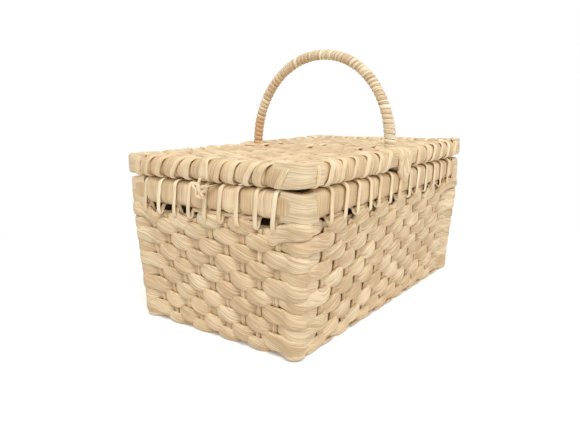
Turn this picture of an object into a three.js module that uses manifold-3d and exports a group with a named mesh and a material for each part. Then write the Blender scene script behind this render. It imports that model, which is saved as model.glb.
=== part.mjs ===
// A small woven picnic basket with a fixed hoop handle and two half lids.
// Units are millimetres, +Z is up, X runs along the length, and the origin is the middle of the base.
import * as THREE from 'three';
import { mergeVertices } from 'three/addons/utils/BufferGeometryUtils.js';
import Module from 'manifold-3d';

const wasm = await Module();
wasm.setup();

// Overall sizes over the wrapped lid frames, and how far the base is set in from them
const LENGTH = 290;
const WIDTH = 180;
const HEIGHT = 140;
const BASE_INSET_LONG = 3.5;
const BASE_INSET_WIDE = 10.4;

// Clearance between pieces that touch, and between pieces that move past each other
const SEAT = 0.3;
const PLAY = 0.5;

// Woven wall and base: upright stakes, and courses of flat leaf that pass in front of and behind them
const BASE_THICKNESS = 5;
const BASE_EDGE_ROUND = 3.6;
const WALL_CORNER_RADIUS = 9;
const CORNER_FULLNESS = 4;
const COURSES = 9;
const WEAVER_THICKNESS = 2.6;
const WEAVER_SHOULDER = 0.55;
const LONG_SIDE_STAKES = 14;
const SHORT_SIDE_STAKES = 9;
const STAKE_WIDTH = 4.5;
const STAKE_THICKNESS = 1.6;
const STAKE_ROOT = 2;
const STAKE_CORNER_MARGIN = 9.5;

// Rim bar on top of the stakes, with a gap under it that the lashing passes through
const RIM_BOTTOM = 100.6;
const RIM_HEIGHT = 18.4;
const RIM_BAR_WIDTH = 12;
const RIM_CORNER_RADIUS = 7;
const RIM_STEP_IN = 1;
const RIM_GAP = 3.4;
const BAR_EDGE = 2;
const BAR_LEAF = 0.6;

// Lashing strip, wound round the bars
const LASHING_WIDTH = 2.4;
const LASHING_THICKNESS = 1.5;
const LASHING_CORNER = 2.2;
const LASHING_STEPS = 6;
const LASHING_UNDER_STEP = 4.5;

// Half lids: a frame bar all round and a woven panel lashed inside it
const LID_UNDERSIDE = 124.2;
const LID_BAR_WIDTH = 13;
const LID_CORNER_RADIUS = 6;
const LID_PANEL_THICKNESS = 6.6;
const LID_PANEL_DROP = 0.2;
const PANEL_RELIEF = 4.3;
const PANEL_ROW = 10.4;
const PANEL_STAKE_STEP = 17.5;
const PANEL_SHOULDER = 0.83;
const PANEL_DIVE = 0.05;
const PANEL_GROOVE = 0.55;
const PANEL_GROOVE_AT_STAKE = 0.8;
const LID_END_TURNS = 9;
const LID_SIDE_TURNS = 6;
const LID_LASHING_MARGIN = 20;

// Bridge bar across the middle, hooked over the rim, which carries the handle and both lids
const BRIDGE_X = 5;
const BRIDGE_WIDTH = 22;
const BRIDGE_HOOK_THICKNESS = 2.4;
const BRIDGE_HOOK_DROP = 11;

// Hinge loops, rings of cord stitched through the bridge and the lid round the hinge line
const HINGE_GAP = 1;
const HINGE_LOOP_RADIUS = 4.5;
const HINGE_CORD_RADIUS = 0.9;
const HINGE_LOOPS = 3;
const HINGE_SPREAD = 104;

// Hoop handle: a round core plugged into the bridge, wound with a narrow leaf strip
const HANDLE_Y = -2.9;
const HANDLE_HALF_SPACING = 73;
const HANDLE_APEX = 220.7;
const HANDLE_FULLNESS = 2.05;
const HANDLE_LEAN = 3.7;
const HANDLE_LEAN_POWER = 1.5;
const HANDLE_ARCH_SHARE = 0.84;
const HANDLE_CORE_RADIUS = 3.2;
const HANDLE_SOCKET_DEPTH = 16;
const WRAP_THICKNESS = 1;
const WRAP_TURNS = 56;
const WRAP_STRIP_GAP = 0.9;

// Closure tie: a loop round the lid's end bar and a knot on the rim below it
const TIE_CORD_RADIUS = 1.1;
const TIE_LOOP_TURNS = 5 / 6;
const TIE_KNOT_SIZE = 2.6;
const TIE_KNOT_LOBES = 0.5;
const TIE_KNOT_DEPTH = 0.62;

// Facets
const CORNER_STEPS = 3;
const WRAP_STEPS = 8;
const CORE_SIDES = 8;
const CORE_STEPS = 26;
const RING_STEPS = 16;
const RING_SIDES = 5;
const KNOT_STEPS = 36;
const KNOT_SIDES = 5;
const ARC_LENGTH_STEPS = 800;

// Sizes that follow from the ones above
const LASHING_STAND = SEAT + LASHING_THICKNESS;
const BASE_LENGTH = LENGTH - 2 * BASE_INSET_LONG;
const BASE_WIDTH = WIDTH - 2 * BASE_INSET_WIDE;
const LID_TOP = HEIGHT - LASHING_STAND;
const LID_HALF_LENGTH = LENGTH / 2 - BAR_LEAF;
const LID_HALF_WIDTH = WIDTH / 2 - BAR_LEAF;
const LID_END_PITCH = (2 * (LID_HALF_WIDTH - LID_LASHING_MARGIN)) / LID_END_TURNS;
const RIM_TOP = RIM_BOTTOM + RIM_HEIGHT;
const RIM_HALF_LENGTH = LID_HALF_LENGTH - RIM_STEP_IN;
const RIM_HALF_WIDTH = LID_HALF_WIDTH - RIM_STEP_IN;
const WALL_TOP = RIM_BOTTOM - RIM_GAP;
const COURSE_BOTTOM = BASE_THICKNESS + SEAT;
const COURSE_PITCH = (WALL_TOP - COURSE_BOTTOM) / COURSES;
const COURSE_HALF_HEIGHT = (COURSE_PITCH - SEAT) / 2;
const LEAST_PITCH = (BASE_WIDTH - 2 * (WALL_CORNER_RADIUS + STAKE_CORNER_MARGIN)) / SHORT_SIDE_STAKES;
const WEAVE_SWING = (WEAVER_THICKNESS / 2 + STAKE_THICKNESS / 2 + SEAT) / (1 - STAKE_WIDTH / LEAST_PITCH);
const WALL_HALF_THICKNESS = WEAVE_SWING + WEAVER_THICKNESS / 2;
const BRIDGE_BOTTOM = RIM_TOP + LASHING_STAND + SEAT;
const WRAP_RADIUS = HANDLE_CORE_RADIUS + SEAT + WRAP_THICKNESS / 2;

const STRAW = 0xdec498;
const PALE_LEAF = 0xf0dcb0;
const DEEP_STRAW = 0xcfae7c;
const CORD = 0xf4e4be;
const LEAF_ROUGHNESS = 0.75;
const STAKE_ROUGHNESS = 0.8;
const STRIP_ROUGHNESS = 0.65;
const CORD_ROUGHNESS = 0.7;

const basket = new THREE.Group();
basket.name = 'picnic_basket';

function addPiece(name, geometry, color, roughness) {
  geometry.computeVertexNormals();
  const material = new THREE.MeshStandardMaterial({ color, roughness, metalness: 0 });
  const mesh = new THREE.Mesh(geometry, material);
  mesh.name = name;
  basket.add(mesh);
}

// Joins rows of points into one closed skin. Each row closes on itself.
// The last row joins the first one, or both are capped.
function skin(rows, joinEnds) {
  const count = rows[0].length;
  const positions = rows.flat().flatMap((point) => [point.x, point.y, point.z]);
  const index = [];
  const spans = joinEnds ? rows.length : rows.length - 1;
  for (let row = 0; row < spans; row += 1) {
    const here = row * count;
    const next = ((row + 1) % rows.length) * count;
    for (let k = 0; k < count; k += 1) {
      const after = (k + 1) % count;
      index.push(here + k, here + after, next + after, here + k, next + after, next + k);
    }
  }
  if (!joinEnds) {
    const last = (rows.length - 1) * count;
    for (let k = 1; k < count - 1; k += 1) {
      index.push(0, k + 1, k, last, last + k, last + k + 1);
    }
  }
  return facingOut(positions, index);
}

function facingOut(positions, index) {
  const corner = (k) => new THREE.Vector3().fromArray(positions, 3 * k);
  let volume = 0;
  for (let k = 0; k < index.length; k += 3) {
    volume += corner(index[k]).dot(corner(index[k + 1]).cross(corner(index[k + 2])));
  }
  const faces = [...index];
  if (volume < 0) {
    faces.reverse();
  }
  const geometry = new THREE.BufferGeometry();
  geometry.setAttribute('position', new THREE.Float32BufferAttribute(positions, 3));
  geometry.setIndex(faces);
  return geometry;
}

function toSolid(geometry) {
  const bare = geometry.clone();
  bare.deleteAttribute('normal');
  bare.deleteAttribute('uv');
  const merged = mergeVertices(bare, 1e-4);
  const vertProperties = new Float32Array(merged.attributes.position.array);
  const triVerts = new Uint32Array(merged.index.array);
  return new wasm.Manifold(new wasm.Mesh({ numProp: 3, vertProperties, triVerts }));
}

function toGeometry(solid) {
  const mesh = solid.getMesh();
  const geometry = new THREE.BufferGeometry();
  geometry.setAttribute('position', new THREE.Float32BufferAttribute(mesh.vertProperties, 3));
  geometry.setIndex(Array.from(mesh.triVerts));
  return geometry;
}

function boxAt(sizeX, sizeY, sizeZ, x, y, z) {
  return new THREE.BoxGeometry(sizeX, sizeY, sizeZ).translate(x, y, z);
}

// A rectangle with rounded corners round (x, 0), anticlockwise from above
function roundedOutline(x, halfX, halfY, radius, z) {
  const points = [];
  const corners = [[1, -1], [1, 1], [-1, 1], [-1, -1]];
  corners.forEach(([signX, signY], corner) => {
    for (let step = 0; step <= CORNER_STEPS; step += 1) {
      const angle = (Math.PI / 2) * (corner - 1 + step / CORNER_STEPS);
      const pointX = x + signX * (halfX - radius) + radius * Math.cos(angle);
      const pointY = signY * (halfY - radius) + radius * Math.sin(angle);
      points.push(new THREE.Vector3(pointX, pointY, z));
    }
  });
  return points;
}

// A bar bent into a closed frame, its section a rectangle with its edges taken off
function frameBar(x, halfX, halfY, radius, width, bottom, top) {
  const innerEdge = BAR_EDGE - width;
  const profile = [
    [-BAR_EDGE, bottom], [0, bottom + BAR_EDGE], [0, top - BAR_EDGE], [-BAR_EDGE, top],
    [innerEdge, top], [-width, top - BAR_EDGE], [-width, bottom + BAR_EDGE], [innerEdge, bottom],
  ];
  const rows = profile.map(([outward, z]) => {
    const reach = Math.max(radius + outward, BAR_EDGE / 2);
    return roundedOutline(x, halfX + outward, halfY + outward, reach, z);
  });
  return skin(rows, true);
}

// The wall's middle surface leans out from the base to the rim
function wallHalf(baseSize, rimHalf, z) {
  const share = z / RIM_BOTTOM;
  return baseSize / 2 + (rimHalf - baseSize / 2) * share - WALL_HALF_THICKNESS;
}

// Stations round the wall at one height: every stake, then the bend at each corner, where courses bow out
function wallStations(z) {
  const halfX = wallHalf(BASE_LENGTH, RIM_HALF_LENGTH, z);
  const halfY = wallHalf(BASE_WIDTH, RIM_HALF_WIDTH, z);
  const stations = [];
  const sides = [[LONG_SIDE_STAKES, halfX, halfY], [SHORT_SIDE_STAKES, halfY, halfX]];
  let stake = 0;
  for (let side = 0; side < 4; side += 1) {
    const [count, along, away] = sides[side % 2];
    const turn = (Math.PI / 2) * side;
    const reach = along - WALL_CORNER_RADIUS - STAKE_CORNER_MARGIN;
    const place = (across, out, angle, phase, isStake) => {
      const x = across * Math.cos(turn) + out * Math.sin(turn);
      const y = across * Math.sin(turn) - out * Math.cos(turn);
      const normal = new THREE.Vector3(Math.sin(turn + angle), -Math.cos(turn + angle), 0);
      stations.push({ point: new THREE.Vector3(x, y, z), normal, phase, isStake });
    };
    for (let k = 0; k < count; k += 1) {
      place(reach * ((2 * k) / (count - 1) - 1), away, 0, stake % 2 ? -1 : 1, true);
      stake += 1;
    }
    const phase = stake % 2 ? 1 : -1;
    for (let step = 1; step <= CORNER_STEPS; step += 1) {
      const angle = ((step - 0.5) / CORNER_STEPS) * (Math.PI / 2);
      const radius = WALL_CORNER_RADIUS + CORNER_FULLNESS * Math.sin(2 * angle);
      const across = along - WALL_CORNER_RADIUS + radius * Math.sin(angle);
      const out = away - WALL_CORNER_RADIUS + radius * Math.cos(angle);
      place(across, out, angle, phase * (1 - (2 * step) / (CORNER_STEPS + 1)), false);
    }
  }
  return stations;
}

// One course: a leaf with a rounded flat section that swings in front of and behind the stakes
function weaverCourse(course) {
  const middle = COURSE_BOTTOM + COURSE_PITCH * (course + 0.5);
  const swing = course % 2 ? WEAVE_SWING : -WEAVE_SWING;
  const face = WEAVER_THICKNESS / 2;
  const shoulder = COURSE_HALF_HEIGHT * WEAVER_SHOULDER;
  const section = [
    [face, -shoulder], [face, shoulder], [0, COURSE_HALF_HEIGHT],
    [-face, shoulder], [-face, -shoulder], [0, -COURSE_HALF_HEIGHT],
  ];
  const rows = section.map(([outward, rise]) => wallStations(middle + rise).map((station) => (
    station.point.clone().addScaledVector(station.normal, swing * station.phase + outward)
  )));
  return skin(rows, true);
}

// The base mat, whose strands turn up all round as the stakes
function baseAndStakes() {
  const half = (inset, z) => roundedOutline(
    0, BASE_LENGTH / 2 - inset, BASE_WIDTH / 2 - inset, WALL_CORNER_RADIUS - inset, z,
  );
  const rows = [
    half(BASE_EDGE_ROUND, 0),
    half(BASE_EDGE_ROUND * (1 - Math.SQRT1_2), BASE_EDGE_ROUND * (1 - Math.SQRT1_2)),
    half(0, BASE_EDGE_ROUND),
    half(0, BASE_THICKNESS),
  ];
  let solid = toSolid(skin(rows, false));
  const foot = wallStations(BASE_THICKNESS - STAKE_ROOT);
  const head = wallStations(RIM_BOTTOM - SEAT);
  foot.forEach((station, k) => {
    if (!station.isStake) {
      return;
    }
    const ends = [station, head[k]].map(({ point, normal }) => {
      const along = new THREE.Vector3(-normal.y, normal.x, 0);
      const corners = [[-1, -1], [1, -1], [1, 1], [-1, 1]];
      return corners.map(([u, v]) => point.clone()
        .addScaledVector(along, (u * STAKE_WIDTH) / 2)
        .addScaledVector(normal, (v * STAKE_THICKNESS) / 2));
    });
    solid = solid.add(toSolid(skin(ends, false)));
  });
  return toGeometry(solid);
}

// Least clear distance between neighbouring turns of a winding, from the points on its middle line
function leastGap(line, stepsInTurn, width) {
  let least = Infinity;
  for (let i = 0; i < line.length; i += 1) {
    for (let j = i + Math.ceil(stepsInTurn / 2); j < line.length; j += 1) {
      least = Math.min(least, line[i].distanceTo(line[j]));
    }
  }
  return least - width;
}

// One unbroken strip wound along a straight bar. The bar's section is given by its middle and half sizes.
function barWinding(name, bar, turns, firstTurn, pitch) {
  const loop = (grow) => {
    const out = bar.halfOut + grow;
    const up = bar.halfUp + grow;
    const cut = LASHING_CORNER;
    return [[out, cut - up], [out, up - cut], [out - cut, up], [-out, up], [-out, -up], [out - cut, -up]];
  };
  const inner = loop(SEAT);
  const outer = loop(LASHING_STAND);
  const steps = LASHING_STEPS;
  const rows = [];
  const line = [];
  for (let k = 0; k <= turns * steps; k += 1) {
    const along = firstTurn + pitch * (k / steps);
    const corner = k % steps;
    const at = ([out, up], shift) => bar.middle.clone()
      .addScaledVector(bar.outward, out)
      .addScaledVector(bar.along, along + shift)
      .add(new THREE.Vector3(0, 0, up));
    const half = LASHING_WIDTH / 2;
    rows.push([
      at(inner[corner], -half), at(inner[corner], half), at(outer[corner], half), at(outer[corner], -half),
    ]);
    line.push(at(inner[corner], 0));
  }
  const gap = leastGap(line, steps, LASHING_WIDTH);
  console.log(`${name}: ${turns.toFixed(1)} turns, least gap ${gap.toFixed(2)} mm`);
  addPiece(name, skin(rows, false), CORD, CORD_ROUGHNESS);
}

function sideBar(x, y, outX, outY, width, bottom, top) {
  const outward = new THREE.Vector3(outX, outY, 0);
  return {
    middle: new THREE.Vector3(x, y, (bottom + top) / 2).addScaledVector(outward, -width / 2),
    outward,
    along: new THREE.Vector3(-outY, outX, 0),
    halfOut: width / 2,
    halfUp: (top - bottom) / 2,
  };
}

// Rim lashings sit midway between the stakes, one turn to each space
function rimLashings() {
  const halfX = wallHalf(BASE_LENGTH, RIM_HALF_LENGTH, RIM_BOTTOM);
  const halfY = wallHalf(BASE_WIDTH, RIM_HALF_WIDTH, RIM_BOTTOM);
  const sides = [
    ['rim_lashing_front', 0, -RIM_HALF_WIDTH, 0, -1, LONG_SIDE_STAKES, halfX],
    ['rim_lashing_right', RIM_HALF_LENGTH, 0, 1, 0, SHORT_SIDE_STAKES, halfY],
    ['rim_lashing_back', 0, RIM_HALF_WIDTH, 0, 1, LONG_SIDE_STAKES, halfX],
    ['rim_lashing_left', -RIM_HALF_LENGTH, 0, -1, 0, SHORT_SIDE_STAKES, halfY],
  ];
  sides.forEach(([name, x, y, outX, outY, stakes, half]) => {
    const reach = half - WALL_CORNER_RADIUS - STAKE_CORNER_MARGIN;
    const pitch = (2 * reach) / (stakes - 1);
    const bar = sideBar(x, y, outX, outY, RIM_BAR_WIDTH, RIM_BOTTOM, RIM_TOP);
    // The strand under the bar is the one set midway between two stakes
    const underBar = pitch * (LASHING_UNDER_STEP / LASHING_STEPS);
    barWinding(name, bar, stakes - 1, pitch / 2 - underBar - reach, pitch);
  });
}

// The hinge line of a lid runs along Y in the gap beside the bridge, level with the top of the bars
function hingeX(side) {
  return BRIDGE_X + side * (BRIDGE_WIDTH / 2 + HINGE_GAP / 2);
}

function hingeRing(side, place, cordRadius) {
  const y = HINGE_SPREAD * (place / (HINGE_LOOPS - 1) - 0.5);
  const ring = new THREE.TorusGeometry(HINGE_LOOP_RADIUS, cordRadius, RING_SIDES, RING_STEPS);
  return ring.rotateX(Math.PI / 2).translate(hingeX(side), y, LID_TOP);
}

function cutHingeChannels(solid, side) {
  let cut = solid;
  for (let place = 0; place < HINGE_LOOPS; place += 1) {
    cut = cut.subtract(toSolid(hingeRing(side, place, HINGE_CORD_RADIUS + PLAY)));
  }
  return cut;
}

// Height of the woven lid top as a share of its relief: 1 where a row passes over a stake.
// Odd columns are the middles of rows and odd steps are stakes.
function panelHeight(column, step, atEdge) {
  const atStake = step % 2 === 1;
  if (atEdge || column % 2 === 0) {
    return atStake ? PANEL_GROOVE_AT_STAKE : PANEL_GROOVE;
  }
  if (!atStake) {
    return PANEL_SHOULDER;
  }
  const row = (column - 1) / 2;
  const stake = (step - 1) / 2;
  return (row + stake) % 2 === 0 ? 1 : PANEL_DIVE;
}

// The woven lid top: rows of leaf across the lid, over and under the stakes that run along it
function wovenPanel(middle, halfX, halfY) {
  const columns = 2 * Math.round((2 * halfX) / PANEL_ROW);
  const steps = 2 * Math.round((2 * halfY) / PANEL_STAKE_STEP);
  const top = LID_TOP - LID_PANEL_DROP;
  const bottom = top - LID_PANEL_THICKNESS;
  const rings = [];
  for (let column = 0; column <= columns; column += 1) {
    const x = middle + halfX * ((2 * column) / columns - 1);
    const ring = [new THREE.Vector3(x, -halfY, bottom)];
    for (let step = 0; step <= steps; step += 1) {
      const y = halfY * ((2 * step) / steps - 1);
      const atEdge = column === 0 || column === columns || step === 0 || step === steps;
      const drop = PANEL_RELIEF * (1 - panelHeight(column, step, atEdge));
      ring.push(new THREE.Vector3(x, y, top - drop));
    }
    ring.push(new THREE.Vector3(x, halfY, bottom));
    rings.push(ring);
  }
  return skin(rings, false);
}

function halfLid(name, side) {
  const hingeFace = hingeX(side) + (side * HINGE_GAP) / 2;
  const endFace = side * LID_HALF_LENGTH;
  const middle = (hingeFace + endFace) / 2;
  const half = Math.abs(endFace - hingeFace) / 2;
  const bar = frameBar(
    middle, half, LID_HALF_WIDTH, LID_CORNER_RADIUS, LID_BAR_WIDTH, LID_UNDERSIDE, LID_TOP,
  );
  addPiece(`${name}_frame`, toGeometry(cutHingeChannels(toSolid(bar), side)), STRAW, LEAF_ROUGHNESS);

  const inset = LID_BAR_WIDTH + LASHING_STAND + SEAT;
  const panel = wovenPanel(middle, half - inset, LID_HALF_WIDTH - inset);
  addPiece(`${name}_panel`, panel, STRAW, LEAF_ROUGHNESS);

  const edge = (x, y, outX, outY) => sideBar(x, y, outX, outY, LID_BAR_WIDTH, LID_UNDERSIDE, LID_TOP);
  const endStart = LID_LASHING_MARGIN - LID_HALF_WIDTH;
  barWinding(`${name}_lashing_end`, edge(endFace, 0, side, 0), LID_END_TURNS, endStart, LID_END_PITCH);
  const sidePitch = (2 * (half - LID_LASHING_MARGIN)) / LID_SIDE_TURNS;
  const sideStart = LID_LASHING_MARGIN - half;
  const front = edge(middle, -LID_HALF_WIDTH, 0, -1);
  const back = edge(middle, LID_HALF_WIDTH, 0, 1);
  barWinding(`${name}_lashing_front`, front, LID_SIDE_TURNS, sideStart, sidePitch);
  barWinding(`${name}_lashing_back`, back, LID_SIDE_TURNS, sideStart, sidePitch);
}

// The bridge rests on the rim, hooks over its outside and has sockets for the handle's legs
function bridgeBar() {
  const hookFace = RIM_HALF_WIDTH + LASHING_STAND + SEAT;
  const end = hookFace + BRIDGE_HOOK_THICKNESS;
  const left = -BRIDGE_WIDTH / 2;
  const bar = new THREE.Shape();
  bar.moveTo(left, BRIDGE_BOTTOM);
  bar.lineTo(-left, BRIDGE_BOTTOM);
  bar.lineTo(-left, LID_TOP - BAR_EDGE);
  bar.lineTo(-left - BAR_EDGE, LID_TOP);
  bar.lineTo(left + BAR_EDGE, LID_TOP);
  bar.lineTo(left, LID_TOP - BAR_EDGE);
  bar.closePath();
  const length = new THREE.ExtrudeGeometry(bar, { depth: 2 * end, bevelEnabled: false });
  length.rotateX(Math.PI / 2).translate(BRIDGE_X, end, 0);
  let solid = toSolid(length);
  const hookHeight = BRIDGE_HOOK_DROP + (LID_TOP - BRIDGE_BOTTOM) / 2;
  const hookMiddle = RIM_TOP - BRIDGE_HOOK_DROP + hookHeight / 2;
  const socketRadius = (HANDLE_CORE_RADIUS + SEAT) / Math.cos(Math.PI / CORE_SIDES);
  [-1, 1].forEach((side) => {
    const hookY = side * (hookFace + BRIDGE_HOOK_THICKNESS / 2);
    const hook = boxAt(BRIDGE_WIDTH, BRIDGE_HOOK_THICKNESS, hookHeight, BRIDGE_X, hookY, hookMiddle);
    solid = solid.add(toSolid(hook));
    const socketLength = 2 * HANDLE_SOCKET_DEPTH;
    const socket = new THREE.CylinderGeometry(socketRadius, socketRadius, socketLength, CORE_SIDES);
    socket.rotateX(Math.PI / 2).translate(BRIDGE_X, HANDLE_Y + side * HANDLE_HALF_SPACING, LID_TOP);
    solid = solid.subtract(toSolid(socket));
    solid = cutHingeChannels(solid, side);
  });
  return toGeometry(solid);
}

// The handle's middle line: a straight leg, a full arch that leans a little, and the other leg
class HandleLine extends THREE.Curve {
  getPoint(share, target = new THREE.Vector3()) {
    const legDepth = HANDLE_SOCKET_DEPTH - SEAT;
    const rise = HANDLE_APEX - LID_TOP;
    const swing = (share - 0.5) / HANDLE_ARCH_SHARE;
    if (Math.abs(swing) > 0.5) {
      const down = (Math.abs(swing) - 0.5) / (0.5 / HANDLE_ARCH_SHARE - 0.5);
      const legY = HANDLE_Y + Math.sign(swing) * HANDLE_HALF_SPACING;
      return target.set(BRIDGE_X, legY, LID_TOP - legDepth * down);
    }
    const angle = swing * Math.PI;
    const power = 2 / HANDLE_FULLNESS;
    const across = Math.sign(angle) * Math.abs(Math.sin(angle)) ** power;
    const up = Math.max(Math.cos(angle), 0) ** power;
    const lean = HANDLE_LEAN * up ** HANDLE_LEAN_POWER;
    return target.set(BRIDGE_X + lean, HANDLE_Y + HANDLE_HALF_SPACING * across, LID_TOP + rise * up);
  }
}

// Even stations along the handle, each with its direction and two square directions across it
function handleStations(fromShare, toShare, count) {
  const line = new HandleLine();
  line.arcLengthDivisions = ARC_LENGTH_STEPS;
  const stations = [];
  for (let k = 0; k <= count; k += 1) {
    const share = fromShare + ((toShare - fromShare) * k) / count;
    const tangent = line.getTangentAt(share);
    const side = new THREE.Vector3(1, 0, 0).addScaledVector(tangent, -tangent.x).normalize();
    const out = new THREE.Vector3().crossVectors(side, tangent);
    stations.push({ point: line.getPointAt(share), tangent, side, out });
  }
  return stations;
}

function handleCore() {
  const rows = handleStations(0, 1, CORE_STEPS).map(({ point, side, out }) => {
    const ring = [];
    for (let k = 0; k < CORE_SIDES; k += 1) {
      const angle = (2 * Math.PI * (k + 0.5)) / CORE_SIDES;
      ring.push(point.clone()
        .addScaledVector(side, HANDLE_CORE_RADIUS * Math.cos(angle))
        .addScaledVector(out, HANDLE_CORE_RADIUS * Math.sin(angle)));
    }
    return ring;
  });
  return skin(rows, false);
}

// The leaf strip winds from one leg's socket to the other
function handleWrap() {
  const length = new HandleLine().getLength();
  const buried = (HANDLE_SOCKET_DEPTH + WRAP_THICKNESS) / length;
  const pitch = (length * (1 - 2 * buried)) / (WRAP_TURNS + 1);
  const half = (pitch - WRAP_STRIP_GAP) / 2;
  const margin = buried + half / length;
  const stations = handleStations(margin, 1 - margin, WRAP_TURNS * WRAP_STEPS);
  const line = [];
  const rows = stations.map(({ point, tangent, side, out }, k) => {
    const angle = (2 * Math.PI * k) / WRAP_STEPS;
    const radial = side.clone().multiplyScalar(Math.cos(angle)).addScaledVector(out, Math.sin(angle));
    const grow = 1 / Math.cos(Math.PI / WRAP_STEPS);
    const at = (layer, shift) => point.clone()
      .addScaledVector(radial, (WRAP_RADIUS + (layer * WRAP_THICKNESS) / 2) * grow)
      .addScaledVector(tangent, shift * half);
    line.push(point.clone().addScaledVector(radial, WRAP_RADIUS * grow));
    return [at(-1, -1), at(-1, 1), at(1, 1), at(1, -1)];
  });
  const gap = leastGap(line, WRAP_STEPS, 2 * half);
  console.log(`handle_wrap: ${WRAP_TURNS} turns, least gap ${gap.toFixed(2)} mm`);
  return skin(rows, false);
}

// A cord of round section along a list of points
function cordAlong(points, radius, sides, closed) {
  const curve = new THREE.CatmullRomCurve3(points, closed);
  const frames = curve.computeFrenetFrames(points.length, closed);
  const rows = [];
  const steps = closed ? points.length : points.length + 1;
  for (let k = 0; k < steps; k += 1) {
    const centre = curve.getPointAt(k / points.length);
    const ring = [];
    for (let s = 0; s < sides; s += 1) {
      const angle = (2 * Math.PI * s) / sides;
      ring.push(centre.clone()
        .addScaledVector(frames.normals[k], radius * Math.cos(angle))
        .addScaledVector(frames.binormals[k], radius * Math.sin(angle)));
    }
    rows.push(ring);
  }
  return skin(rows, closed);
}

function closureTie() {
  const bar = sideBar(-LID_HALF_LENGTH, 0, -1, 0, LID_BAR_WIDTH, LID_UNDERSIDE, LID_TOP);
  // The tie lies midway between two turns of the lid's own lashing, and winds at the same slant
  const turnBefore = Math.floor(LID_END_TURNS / 2);
  const tieStart = LID_LASHING_MARGIN - LID_HALF_WIDTH + LID_END_PITCH * (turnBefore + 0.5);
  barWinding('lid_tie', bar, TIE_LOOP_TURNS, tieStart, LID_END_PITCH);

  // An overhand knot lies on the rim's outer face, in the gap below the lid
  const knotX = -RIM_HALF_LENGTH - LASHING_STAND - SEAT - TIE_KNOT_SIZE;
  const knot = [];
  for (let k = 0; k < KNOT_STEPS; k += 1) {
    const angle = (2 * Math.PI * k) / KNOT_STEPS;
    const reach = TIE_KNOT_SIZE * (1 + TIE_KNOT_LOBES * Math.cos(3 * angle));
    const depth = TIE_KNOT_DEPTH * TIE_KNOT_SIZE * Math.sin(3 * angle);
    const up = RIM_TOP - TIE_KNOT_SIZE + reach * Math.sin(2 * angle);
    knot.push(new THREE.Vector3(knotX - depth, reach * Math.cos(2 * angle) - tieStart, up));
  }
  addPiece('rim_tie', cordAlong(knot, TIE_CORD_RADIUS, KNOT_SIDES, true), CORD, CORD_ROUGHNESS);
}

addPiece('base_and_stakes', baseAndStakes(), DEEP_STRAW, STAKE_ROUGHNESS);
for (let course = 0; course < COURSES; course += 1) {
  addPiece(`weaver_course_${course + 1}`, weaverCourse(course), STRAW, LEAF_ROUGHNESS);
}
const rimBar = frameBar(
  0, RIM_HALF_LENGTH, RIM_HALF_WIDTH, RIM_CORNER_RADIUS, RIM_BAR_WIDTH, RIM_BOTTOM, RIM_TOP,
);
addPiece('rim_bar', rimBar, STRAW, LEAF_ROUGHNESS);
rimLashings();
addPiece('bridge_bar', bridgeBar(), STRAW, LEAF_ROUGHNESS);
addPiece('handle_core', handleCore(), DEEP_STRAW, STAKE_ROUGHNESS);
addPiece('handle_wrap', handleWrap(), PALE_LEAF, STRIP_ROUGHNESS);
[['near', -1], ['far', 1]].forEach(([name, side]) => {
  halfLid(`${name}_lid`, side);
  for (let place = 0; place < HINGE_LOOPS; place += 1) {
    const ring = hingeRing(side, place, HINGE_CORD_RADIUS);
    addPiece(`${name}_hinge_loop_${place + 1}`, ring, CORD, CORD_ROUGHNESS);
  }
});
closureTie();

export default basket;
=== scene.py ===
# %% [markdown]
# # A woven picnic basket
# The basket is plaited from dried leaf: upright stakes, courses of flat leaf that pass in front of
# and behind them, bars wrapped with leaf and bound with cord, and a hoop handle wound with a strip.
# Nearly every visible piece is therefore one thing, a leaf that follows a path. This lesson lays
# the paths out by rule and lets one Geometry Nodes tree turn every path into a leaf.

# %% Load the frame
import math

import bmesh
import bpy
import numpy as np
from mathutils import Matrix, Vector


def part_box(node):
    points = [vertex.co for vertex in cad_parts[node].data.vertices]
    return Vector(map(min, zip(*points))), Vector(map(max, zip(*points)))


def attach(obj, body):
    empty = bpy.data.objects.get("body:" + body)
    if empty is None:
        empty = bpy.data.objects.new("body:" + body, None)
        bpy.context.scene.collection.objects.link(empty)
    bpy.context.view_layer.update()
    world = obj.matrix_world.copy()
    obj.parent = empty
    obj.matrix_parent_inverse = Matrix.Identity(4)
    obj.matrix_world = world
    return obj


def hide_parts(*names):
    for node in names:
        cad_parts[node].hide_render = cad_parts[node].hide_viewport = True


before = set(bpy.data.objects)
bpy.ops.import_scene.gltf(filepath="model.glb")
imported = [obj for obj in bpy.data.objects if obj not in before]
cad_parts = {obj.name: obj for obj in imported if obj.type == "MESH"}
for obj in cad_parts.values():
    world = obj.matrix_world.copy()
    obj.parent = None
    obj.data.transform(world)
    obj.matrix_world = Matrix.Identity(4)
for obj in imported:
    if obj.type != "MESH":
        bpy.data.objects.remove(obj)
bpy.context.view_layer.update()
MM = 0.001
LENGTHWISE = np.array([1.0, 0.0, 0.0])
CROSSWISE = np.array([0.0, 1.0, 0.0])
UP = np.array([0.0, 0.0, 1.0])


def add_object(name, data):
    item = bpy.data.objects.new(name, data)
    bpy.context.scene.collection.objects.link(item)
    return item


# %% [markdown]
# ## Camera
# The picture was taken from a little above the lids, off the corner between the short near end and
# the long front side. The place and angles were worked out from the basket's own known sizes.

# %% Camera
CAMERA_PLACE = Vector((-419.7, -279.7, 176.4)) * MM
CAMERA_YAW = math.radians(37.8)
CAMERA_PITCH = math.radians(-12.2)
CAMERA_ROLL = math.radians(-0.9)
CAMERA_NEAREST = 10 * MM
FOCAL_PIXELS = 534.6
IMAGE_WIDTH = 580.0
IMAGE_HEIGHT = 435.0
IMAGE_CENTRE = (275.4, 220.6)
SENSOR = 36.0

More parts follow.
